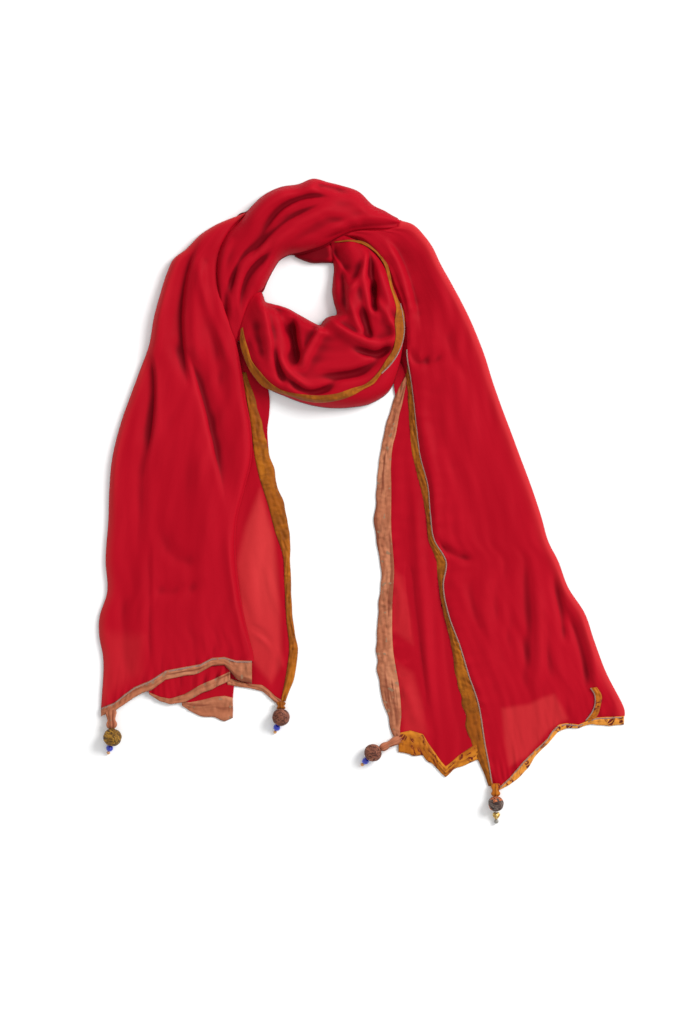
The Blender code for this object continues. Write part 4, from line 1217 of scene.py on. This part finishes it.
SIDE_FOLDS = [
    Fold(-121, -145, -99, -162, -82, -197, 2.5, 4),
    Fold(-126, -136, -104, -154, -84, -192, -2.2, 3.5),
    Fold(-112, 10, -121, -65, -123, -131, 1.4, 9),
    Fold(-103, -30, -110, -90, -106, -140, -1.2, 5),
]

left_side = stretch(LEFT_SIDE, SIDE_FOLDS, PLAIN, 4, 7, hem=SIDE_HEM)
SIDE_LIGHT_PATCH = [
    (-112, 12), (-97, -40), (-90, -120), (-88, -180), (-100, -200), (-135, -160), (-134, -110),
    (-138, -70), (-128, -30),
]
LIGHT_MIDDLE, LIGHT_HALF = (-106, -65), (22, 75)  # the brightest part of its painted light: a bell
away = np.linalg.norm((left_side[..., :2] - LIGHT_MIDDLE) / LIGHT_HALF, axis=-1)
# Painted light: the single layer is painted paler inside its outline, most of all in a bell round
# its middle.
sheer = (0.55 + 0.5 * np.exp(-(away**2))) * patch(left_side, SIDE_LIGHT_PATCH)
cut = {"flat": (0.045, 0.36), "held": "laid"}
lay_silk("left_tail_side_silk", left_side, "left_tail_side", sheer=sheer, **cut)

LEFT_INNER = [  # it starts under the loop
    level(-144, 176, -124, 170, 3),
    level(-142, 160, -116, 154, 2),
    level(-138, 140, -106, 132),
    level(-136, 122, -102, 116),
    level(-126, 97, -102, 95),
    level(-116, 78, -104, 78),
    level(-112, 58, -103, 58),
]
left_inner = stretch(LEFT_INNER, [], PLAIN, 4, 8, ripple=0.1)
cut = {"flat": (0.03, 0.11), "held": "laid"}
# It lies under the loop, and its colour is painted a little deeper, as shade.
lay_silk("left_tail_inner_silk", left_inner, "left_tail_inner", painted_shade=0.2, **cut)

# %% [markdown]
# The left tail's hems are bound in peach, and the long edge of its single layer in ochre. The
# band of the front layer is wide at the right, where the corner is folded over.

# %% Bands of the left tail
DOWN, LEFTWARDS, RIGHTWARDS = (0, -1), (-1, 0), (1, 0)
LEAST_BAND = 1.5  # the least that shows of a band along a long edge
SEAM_LIFT = 1.3  # how far a seam lies above the edge that it runs along


def hem_widths(hem, edge):
    """The width of a hem's band at each point of the edge, from the hem's table."""
    table = np.array(hem, float)
    places, along = run_length(table[:, :2]), run_length(edge[:, :2])
    return np.interp(along / along[-1] * places[-1], places, table[:, 2])


def hem_band(name, panel, hem, node_name, material, seed, cut, outer=OUTER_LOW, worn=0.0):
    """The band along the hem of a panel, sewn on below it. The cut, its width and length, is not
    used.
    """
    edge = panel[-1]
    grid = edge_band(edge, DOWN, hem_widths(hem, edge), seed, outer)
    sew_band(name, grid, material, *cut, node_name, worn)


def side_band(name, panel, sections, side, node_name, material, seed, cut, start=0.0):
    """The band along a long edge of a panel, as wide as the band column of its sections."""
    first = int(start * len(panel))
    edge = panel[first:, 0 if side == LEFTWARDS else -1]
    widths = np.maximum(smooth_rows(sections, len(panel))[first:, 7], LEAST_BAND)
    sew_band(name, edge_band(edge, side, widths, seed), material, *cut, node_name)


for name, panel, hem, node_name, seed, cut, outer in (
    ("left_hem_front", left_front, LEFT_HEM, "hem_peach_front", 2, (0.011, 0.19), 5.4),
    ("left_hem_upper", left_upper, UPPER_HEM, "hem_peach_upper", 3, (0.008, 0.096), 3.0),
    ("left_hem_lower", left_lower, LOWER_HEM, "hem_peach_lower", 4, (0.018, 0.057), OUTER_LOW),
    ("left_hem_side", left_side, SIDE_HEM, "hem_peach_side", 5, (0.0075, 0.068), OUTER_LOW),
):
    hem_band(name, panel, hem, node_name, peach_silk, seed, cut, outer)
cut = (0.011, 0.365)
side_band(
    "left_ochre_band", left_side, LEFT_SIDE, RIGHTWARDS, "band_ochre_left", ochre_silk, 6, cut
)
seam("left_hem_seam", left_front[-1] + (0, -0.4, SEAM_LIFT))

# %% [markdown]
# ## The right tail
# This tail is folded in two along its length. The front layer spreads like a fan from the shoulder
# and carries the ochre edge down its left side. The back layer shows between that edge and its own
# peach edge. The front's lowest corner is a single layer, and the table's light through it is
# painted as a paler colour.

# %% Right tail
RIGHT_FRONT = [  # from under the neck band down to the hem
    Section(-17, 291, 43, 308, 13, 10, 1),
    Section(0, 288, 57, 303, 13, 11, 1),
    Section(11, 279, 68, 292, 13, 11, 1),
    Section(22, 267, 78, 278, 13, 11, 1),
    Section(30, 254, 86, 261, 12, 11, 1),
    Section(36, 238, 96, 243, 12, 11, 1),
    Section(43, 221, 108, 221, 12, 11, 1),
    Section(47, 203, 118, 201, 12, 11, 1),
    Section(49, 182, 127, 180, 11.5, 10, 1),
    Section(49, 160, 135, 159, 10.5, 8, 1, 1.5),
    Section(53.5, 133, 144, 130, 9.5, 5, 1, 5.5),
    Section(56.5, 111, 152, 107, 9, 4, 1, 6),
    Section(60, 78, 164, 75, 8.5, 4, 1, 8),
    Section(63.5, 50, 174, 48, 8, 4, 1, 8.5),
    Section(72, 17, 186, 16, 8, 4, 1, 9),
    Section(75, -16, 197, -17, 7.5, 4, 1, 5),
    Section(79, -43, 205, -45, 7.5, 4, 1, 6),
    Section(92, -67, 216, -67, 7, 4, 1, 11),
    Section(89, -93, 226, -94, 7, 4, 1, 5),
    Section(95, -126, 245, -124, 7, 4, 1, 5),
    Section(107, -159, 255, -153, 6.5, 4, 1, 9),
    Section(117, -192, 268, -188, 6, 4, 1, 14),
    Section(129, -230, 286, -223, 5, 3.8, 1.2, 17),
    Section(135, -269, 289, -232, 4.4, 4, 1.4, 15),
    Section(139, -290, 289, -236, 3.4, 3.8, 1.6, 9),
    level(143, -314, 288, -238, 1.8, 4),
]
RIGHT_HEAD = [(-17, 291), (-11, 294), (1, 296), (25, 296), (41, 300), (43, 308)]
RIGHT_HEM = [
    Hem(143, -314, 3),
    Hem(152, -315, 3),
    Hem(162, -306, 7),
    Hem(169, -298, 9.5),
    Hem(176.5, -289, 12.5),
    Hem(184, -281.5, 10.5),
    Hem(190, -275.5, 6.5),
    Hem(198, -268.5, 5),
    Hem(204, -262.5, 6),
    Hem(209, -254.5, 7.5),
    Hem(216, -247.5, 6.5),
    Hem(225, -246, 4.5),
    Hem(238, -247.5, 3),
    Hem(246, -244, 3.5),
    Hem(253, -241, 5),
    Hem(259, -239.5, 7),
    Hem(272, -239, 9),
    Hem(288, -238, 9),
]
RIGHT_FOLDS = [
    Fold(26, 291, 52, 250, 68, 176, -5, 8, 0.4),
    Fold(20, 288, 42, 252, 54, 190, 2.5, 5),
    Fold(62, 290, 84, 252, 92, 180, 2.5, 11),
    Fold(48, 176, 63, 152, 80, 172, -2.6, 5),
    Fold(66, 152, 78, 152, 92, 166, -1.6, 5),
    Fold(95, 196, 99, 164, 114, 130, -2, 6),
    Fold(82, 136, 76, 98, 90, 40, -1.8, 8),
    Fold(102, 188, 110, 122, 130, 34, 1.8, 10),
    Fold(64, 111, 77, 34, 86, -32, 1.5, 7),
    Fold(130, 12, 156, -98, 163, -208, -2, 8),
    Fold(128, -65, 139, -131, 141, -208, 1.5, 8),
    Fold(141, -21, 155, -98, 154, -164, 2, 6),
    Fold(174, -30, 183, -131, 176, -219, -2, 6.5),
    Fold(190, -65, 197, -153, 190, -219, 2, 6),
    Fold(207, -65, 219, -123, 224, -162, -3.5, 5),
    Fold(218, -109, 240, -162, 249, -222, -3, 4.5),
    Fold(235, -109, 254, -170, 257, -228, 2.5, 6),
    Fold(79, -39, 99, -58, 130, -65, -3, 5),
    Fold(95, -79, 110, -109, 114, -153, 1.5, 7),
    Fold(185, 34, 209, -49, 238, -123, 1.5, 9),
]
RIGHT_BACK = [  # it starts under the loop
    level(36, 168, 110, 168),
    level(34, 148, 114, 148),
    level(35, 127, 119, 127),
    level(37, 112, 125, 112),
    level(39, 89, 146, 89),
    level(32, 56, 158, 56),
    level(31, 12, 170, 12),
    level(31, -32, 183, -32),
    level(34, -76, 201, -76),
    level(32, -120, 224, -120),
    level(33, -164, 240, -160),
    level(40, -208, 254, -190),
    level(42, -236, 262, -212),
    level(40, -256, 266, -224),
]
BACK_HEM = [
    Hem(40, -257, 20),
    Hem(53, -254, 25),
    Hem(67, -258, 23),
    Hem(73, -268, 16),
    Hem(80, -278, 12),
    Hem(87, -288, 11),
    Hem(92, -293.5, 9.5),
    Hem(98, -289, 12),
    Hem(105, -282.5, 15),
    Hem(113, -277, 17),
    Hem(123, -270, 19),
    Hem(136, -262, 17),
    Hem(150, -237, 0),
    Hem(174, -224, 0),
    Hem(205, -216, 0),
    Hem(224, -228, 0),
    Hem(266, -224, 0),
]
BACK_FOLDS = [
    Fold(52, 60, 66, -92, 84, -272, 2.6, 7),
    Fold(50, -60, 56, -134, 76, -272, -2.4, 4.5, 0.3),
    Fold(88, -90, 101, -180, 116, -280, -2.2, 6),
    Fold(32, -167, 46, -160, 60, -152, -3, 4),
    Fold(38, -192, 52, -186, 64, -172, -3, 4),
    Fold(36, -90, 42, -110, 38, -150, 1.5, 5),
    Fold(44, -200, 54, -222, 64, -261, 1.8, 6),
    Fold(34, -170, 46, -172, 58, -162, -2.2, 3.5),
]
right_front = stretch(
    RIGHT_FRONT, RIGHT_FOLDS, PLAIN, PANEL_ROUND, 9, head=RIGHT_HEAD, hem=RIGHT_HEM, wave=20
)
right_front = puckered(right_front, "hem", 0.35, seed=3)
right_front = puckered(right_front, "left", 0.2, 16, seed=4)
FRONT_LIGHT_PATCH = [
    (154, -229), (170, -226), (184, -224), (198, -217), (211, -213), (219, -226), (226, -240),
    (205, -253), (193, -268), (182, -281), (162, -292), (157, -265),
]
# Painted light: the single-layer corner and a rim along the right side are painted paler.
sheer = 0.55 * patch(right_front, FRONT_LIGHT_PATCH, 7) + painted_edge_light(right_front, "right", 0.7, 7)
grid = tucked(right_front, "left")
grid = tucked(grid, "head")
added = np.subtract(grid.shape[:2], sheer.shape)
sheer = np.pad(sheer, [(count, 0) for count in added])
cut = {"flat": (0.14, 0.60), "held": "laid", "rests_on": ["right_tail_back"]}
lay_silk("right_tail_silk", grid, "right_tail_front", sheer=sheer, **cut)

right_back = stretch(RIGHT_BACK, BACK_FOLDS, PLAIN, 4, 10, hem=BACK_HEM)
right_back = puckered(right_back, "left", 0.2, 16, seed=5)
BACK_LIGHT_PATCHES = (
    [(34, -75), (44, -84), (52, -126), (56, -158), (34, -143)],
    [(38, -178), (56, -190), (65, -220), (71, -256), (46, -256), (42, -220)],
)
# Painted light: two patches where the back layer lies single on the table are painted paler.
sheer = 0.35 * sum(patch(right_back, shape) for shape in BACK_LIGHT_PATCHES)
cut = {"flat": (0.19, 0.40), "held": "laid"}
lay_silk("right_tail_back_silk", right_back, "right_tail_back", sheer=sheer, **cut)

# %% [markdown]
# The right tail's long edges carry the ochre and the peach band, and its hem the printed one. At
# the lower right the hem turns up for a few centimetres and lies on the cloth.

# %% Bands of the right tail
FRONT_BAND_START = 0.27  # the share of the front's length at which its ochre band comes out
FRONT_SEAM_START = 0.262  # and the band's seam
PEACH_LIFT = 1.8  # height of the back layer's edge
cut = (0.0085, 0.50)
side_band(
    "right_ochre_band", right_front, RIGHT_FRONT, LEFTWARDS, "band_ochre_right", ochre_silk,
    7, cut, FRONT_BAND_START
)
PEACH_LINE = [  # the seam of the peach band: x, y and the width of the band
    (49, 136, 2),
    (46, 121, 7),
    (43, 106, 10),
    (40, 95, 9.5),
    (38, 84, 11.5),
    (36, 73, 12),
    (33, 62, 11),
    (31, 45, 12),
    (31, 12, 15),
    (31, -32, 17),
    (34, -76, 13),
    (32, -120, 14),
    (33, -164, 17),
    (40, -208, 20),
    (42, -236, 14),
    (41, -256, 8),
    (44, -266, 5),
]
line = curve_through(PEACH_LINE)
edge = np.pad(line[:, :2], ((0, 0), (0, 1)), constant_values=PEACH_LIFT)
grid = edge_band(edge, LEFTWARDS, line[:, 2], 8)
sew_band("right_peach_band", grid, peach_silk, 0.0135, 0.40, "band_peach_right")
cut = (0.007, 0.19)
hem_band(
    "right_hem_front", right_front, RIGHT_HEM, "hem_print_front", printed_silk, 9, cut, worn=0.6
)
PRINT_BACK_REACH = 0.52  # the share of the back's hem that shows its band, and the rows for it
PRINT_BACK_ROWS = 12
shown = right_back[:, : int(PRINT_BACK_REACH * right_back.shape[1])]
rows, cut = BACK_HEM[:PRINT_BACK_ROWS], (0.021, 0.125)
hem_band("right_hem_back", shown, rows, "hem_print_back", printed_silk, 10, cut)
start = int(FRONT_SEAM_START * len(right_front))
seam("right_long_seam", right_front[start:, 0] + (0.3, 0, SEAM_LIFT))
seam("right_hem_seam", right_front[-1] + (0, -0.3, SEAM_LIFT))
TURNED_UP = [  # from the top down, the seam's side first
    (251, -206, 258, -205),
    (255, -212, 263, -213),
    (256, -224, 262, -226),
    (252, -234, 259, -236),
    (246, -242, 253, -242),
]
sides = curve_through(TURNED_UP, 0.8)
inner, outer = (laid_line(sides[:, i : i + 2], right_front, 0.8) for i in (0, 2))
grid = swollen(inner, outer, 11, puff=1.2)
sew_band("right_hem_turned_up", grid, printed_silk, 0.0075, 0.04)
line = curve_through([row[:2] for row in TURNED_UP], 0.5)
seam("turned_up_seam", laid_line(line, right_front, 1.2))

# %% [markdown]
# ## The bead drops
# At each corner the bands are drawn into a short neck, and a wooden bead wound with strips of
# cloth is tied on. Below it hang small beads: a blue glass one and a gold seed on three corners,
# a metal heart and a grey seed on the fourth. They lie on the table, so each centre stands its
# own radius above it.

# %% Drops
FIELDS = "name corner_x corner_y corner_z bead_x bead_y radius neck small_way cloth finish"
Drop = namedtuple("Drop", FIELDS)
DROPS = [
    Drop("left", -276, -233, 4.6, -274, -260, 10.3, 5.8, (-0.27, -0.96), peach_silk, olive_bead),
    Drop("side", -89, -223, 4.5, -89, -238, 9.8, 4.8, (-0.37, -0.93), ochre_silk, brown_bead),
    Drop("back", 37, -264, 4.2, 12, -277, 9.8, 4.4, (-0.66, -0.75), peach_silk, brown_bead),
    Drop("front", 147, -314, 5.3, 147, -333, 8.8, 5.0, (0.0, -1.0), printed_silk, dark_bead),
]
NECK_RINGS = [  # share of the length, width and height in shares of the neck's own
    (-0.25, 0.75, 0.45),
    (0.0, 1.0, 0.75),
    (0.2, 0.85, 0.8),
    (0.45, 0.7, 0.75),
    (0.7, 0.95, 0.95),
    (0.9, 0.75, 0.8),
    (1.0, 0.4, 0.45),
]
NECK_ROWS, NECK_COLUMNS = 26, 60
STRIPS = 7  # strips of cloth wound on a bead
THREAD_RADIUS = 0.35
BLUE_RADIUS, SEED_RADIUS = 3.9, 1.9


def ball_rings(middle, radius, rows=40, columns=56):
    """Rings of a sphere whose axis is upright, without its two poles."""
    polar = np.linspace(0, np.pi, rows + 2)[1:-1, None]
    round_way = np.linspace(0, 2 * np.pi, columns, endpoint=False)[None, :]
    x, y = np.sin(polar) * np.cos(round_way), np.sin(polar) * np.sin(round_way)
    out = np.stack([x, y, -np.cos(polar) + 0 * round_way], axis=-1)
    return np.array(middle) + radius * out, out


def wound_rings(middle, radius, seed):
    """A sphere wound with strips of cloth: each strip is a soft ridge round a great circle."""
    rings, out = ball_rings(middle, radius * 0.93)
    draw = np.random.default_rng(seed)
    raised = np.zeros(out.shape[:2])
    for _ in range(STRIPS):
        axis = draw.normal(size=3)
        axis /= np.linalg.norm(axis)
        off = out @ axis - draw.uniform(-0.3, 0.3)
        pleats = 0.85 + 0.15 * np.sin(off * draw.uniform(28, 40) + draw.uniform(0, 6))
        raised = np.maximum(raised, np.exp(-((off / 0.28) ** 4)) * pleats * draw.uniform(0.6, 1))
    return rings + out * radius * 0.075 * raised[..., None]


def neck_rings(drop):
    """Cloth drawn into a neck: pleated oval rings from the scarf's corner to the bead."""
    start = np.array([drop.corner_x, drop.corner_y, drop.corner_z])
    bead = np.array([drop.bead_x, drop.bead_y, drop.radius])
    way = (bead - start) / np.linalg.norm(bead - start)
    end = bead - way * drop.radius * 0.9
    side = np.cross(way, (0, 0, 1))
    side /= np.linalg.norm(side)
    up = np.cross(side, way)
    table = np.array(NECK_RINGS)
    shape = cubic(table, table[:, 0], np.linspace(table[0, 0], 1, NECK_ROWS))
    turn = np.linspace(0, 2 * np.pi, NECK_COLUMNS, endpoint=False)
    pleat = 1 + 0.1 * np.sin(7 * turn + drop.radius) + 0.06 * np.sin(13 * turn + drop.neck)
    across = np.outer(shape[:, 1], np.cos(turn) * pleat)[..., None] * side
    above = np.outer(shape[:, 2], np.sin(turn) * pleat)[..., None] * up
    rings = start + (end - start) * shape[:, 0, None, None] + (across + above) * drop.neck
    rings[..., 2] = np.maximum(rings[..., 2], 0.3)
    return rings


def small_place(above, above_radius, radius, way):
    """The centre of a small bead that lies on the table against the bead above it."""
    apart = 2 * np.sqrt(above_radius * radius)
    return (above[0] + way[0] * apart, above[1] + way[1] * apart, radius)


def thread_rings(start, end):
    """A thread between two points, as rings of eight points."""
    start, end = np.array(start), np.array(end)
    way = (end - start) / np.linalg.norm(end - start)
    side = np.cross(way, (0, 0, 1))
    side /= np.linalg.norm(side)
    up = np.cross(side, way)
    turn = np.linspace(0, 2 * np.pi, 8, endpoint=False)
    oval = np.cos(turn)[:, None] * side + np.sin(turn)[:, None] * up
    steps = np.linspace(0, 1, 4)[:, None, None]
    return start + (end - start) * steps + THREAD_RADIUS * oval


for number, drop in enumerate(DROPS):
    neck = add_rings(f"corner_neck_{drop.name}", neck_rings(drop), drop.cloth)
    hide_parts(f"wrap_{drop.name}")
    middle = (drop.bead_x, drop.bead_y, drop.radius)
    wound = wound_rings(middle, drop.radius, 20 + number)
    bead = add_rings(f"wound_bead_{drop.name}", wound, drop.finish)
    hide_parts(f"bead_{drop.name}")
    if drop.name == "front":
        continue
    blue_middle = small_place(middle, drop.radius, BLUE_RADIUS, drop.small_way)
    blue_rings = ball_rings(blue_middle, BLUE_RADIUS, 24, 32)[0]
    add_rings(f"blue_bead_{drop.name}", blue_rings, blue_glass)
    seed_middle = small_place(blue_middle, BLUE_RADIUS, SEED_RADIUS, drop.small_way)
    seed_rings = ball_rings(seed_middle, SEED_RADIUS, 16, 20)[0]
    add_rings(f"gold_seed_{drop.name}", seed_rings, gold_seed)
    add_rings(f"thread_{drop.name}", thread_rings(middle, seed_middle), seam_thread)
print(len(DROPS), "drops, beads of", [2 * drop.radius for drop in DROPS], "mm")

# %% [markdown]
# The heart is a ball pressed into two lobes above and a point below: its half width falls off
# towards the point, and a dent runs down from the top.

# %% Metal heart and grey seed
HEART_HALF, HEART_LONG, HEART_THICK = 4.3, 4.6, 3.3
GREY_RADIUS = 2.6
THREAD_HIGH = 5  # height at which the thread leaves the bead
front = DROPS[-1]
heart_middle = np.array([front.bead_x + 0.6, front.bead_y - 13.2, 3.6])
rings, out = ball_rings((0, 0, 0), 1.0, 32, 44)
x, y, z = np.moveaxis(out, -1, 0)
taper = 1 - 0.42 * soft_step((0.35 - y) / 1.3)
dent = 0.34 * np.exp(-((x / 0.32) ** 2)) * soft_step((y - 0.1) / 0.8)
thick = z * HEART_THICK * (1 - 0.25 * dent)
heart = np.stack([x * HEART_HALF * taper, (y - dent) * HEART_LONG, thick], axis=-1)
heart_piece = add_rings("metal_heart", heart_middle + heart, worn_metal)
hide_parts("drop_front")
grey_middle = heart_middle + (0, -6.6, -1.0)
add_rings("grey_seed", ball_rings(grey_middle, GREY_RADIUS, 16, 24)[0], grey_glass)
thread = thread_rings((front.bead_x, front.bead_y, THREAD_HIGH), grey_middle)
add_rings("thread_front", thread, seam_thread)
print("heart at", heart_middle.round(1), "and grey seed at", grey_middle.round(1))

# %% [markdown]
# ## Table and light
# A pale table, a large soft light high at the upper right, and an even white surround. The
# light's size keeps the shadows soft, and its side puts them to the left of the tails.

# %% Table and light
TABLE_HALF, TABLE_TOP = 3, -0.0006  # metres
corners = [(-1, -1), (1, -1), (1, 1), (-1, 1)]
points = [(x * TABLE_HALF, y * TABLE_HALF, TABLE_TOP) for x, y in corners]
table_top = bpy.data.meshes.new("table")
table_top.from_pydata(points, [], [(0, 1, 2, 3)])
table_white, tree, shader, uv = new_material("table_white")
shader.inputs[0].default_value = light(243, 243, 243)
shader.inputs["Roughness"].default_value = 0.9
table_top.materials.append(table_white)
table_piece = bpy.data.objects.new("table", table_top)
bpy.context.scene.collection.objects.link(table_piece)

KEY_PLACE, KEY_SIZE, KEY_POWER = (4.2, 2.7, 4.1), 3.0, 400
FILL = 0.8
lamp = bpy.data.lights.new("key", "AREA")
lamp.shape = "DISK"
lamp.size = KEY_SIZE
lamp.energy = KEY_POWER
key = bpy.data.objects.new("key", lamp)
key.location = KEY_PLACE
key.rotation_euler = (-Vector(KEY_PLACE)).to_track_quat("-Z", "Y").to_euler()
bpy.context.scene.collection.objects.link(key)
surround = bpy.data.worlds.new("surround")
surround.use_nodes = True
surround.node_tree.nodes["Background"].inputs[0].default_value = (1, 1, 1, 1)
surround.node_tree.nodes["Background"].inputs[1].default_value = FILL
bpy.context.scene.world = surround
bpy.context.scene.view_settings.view_transform = "Standard"
print("key", KEY_POWER, "W, fill", FILL)
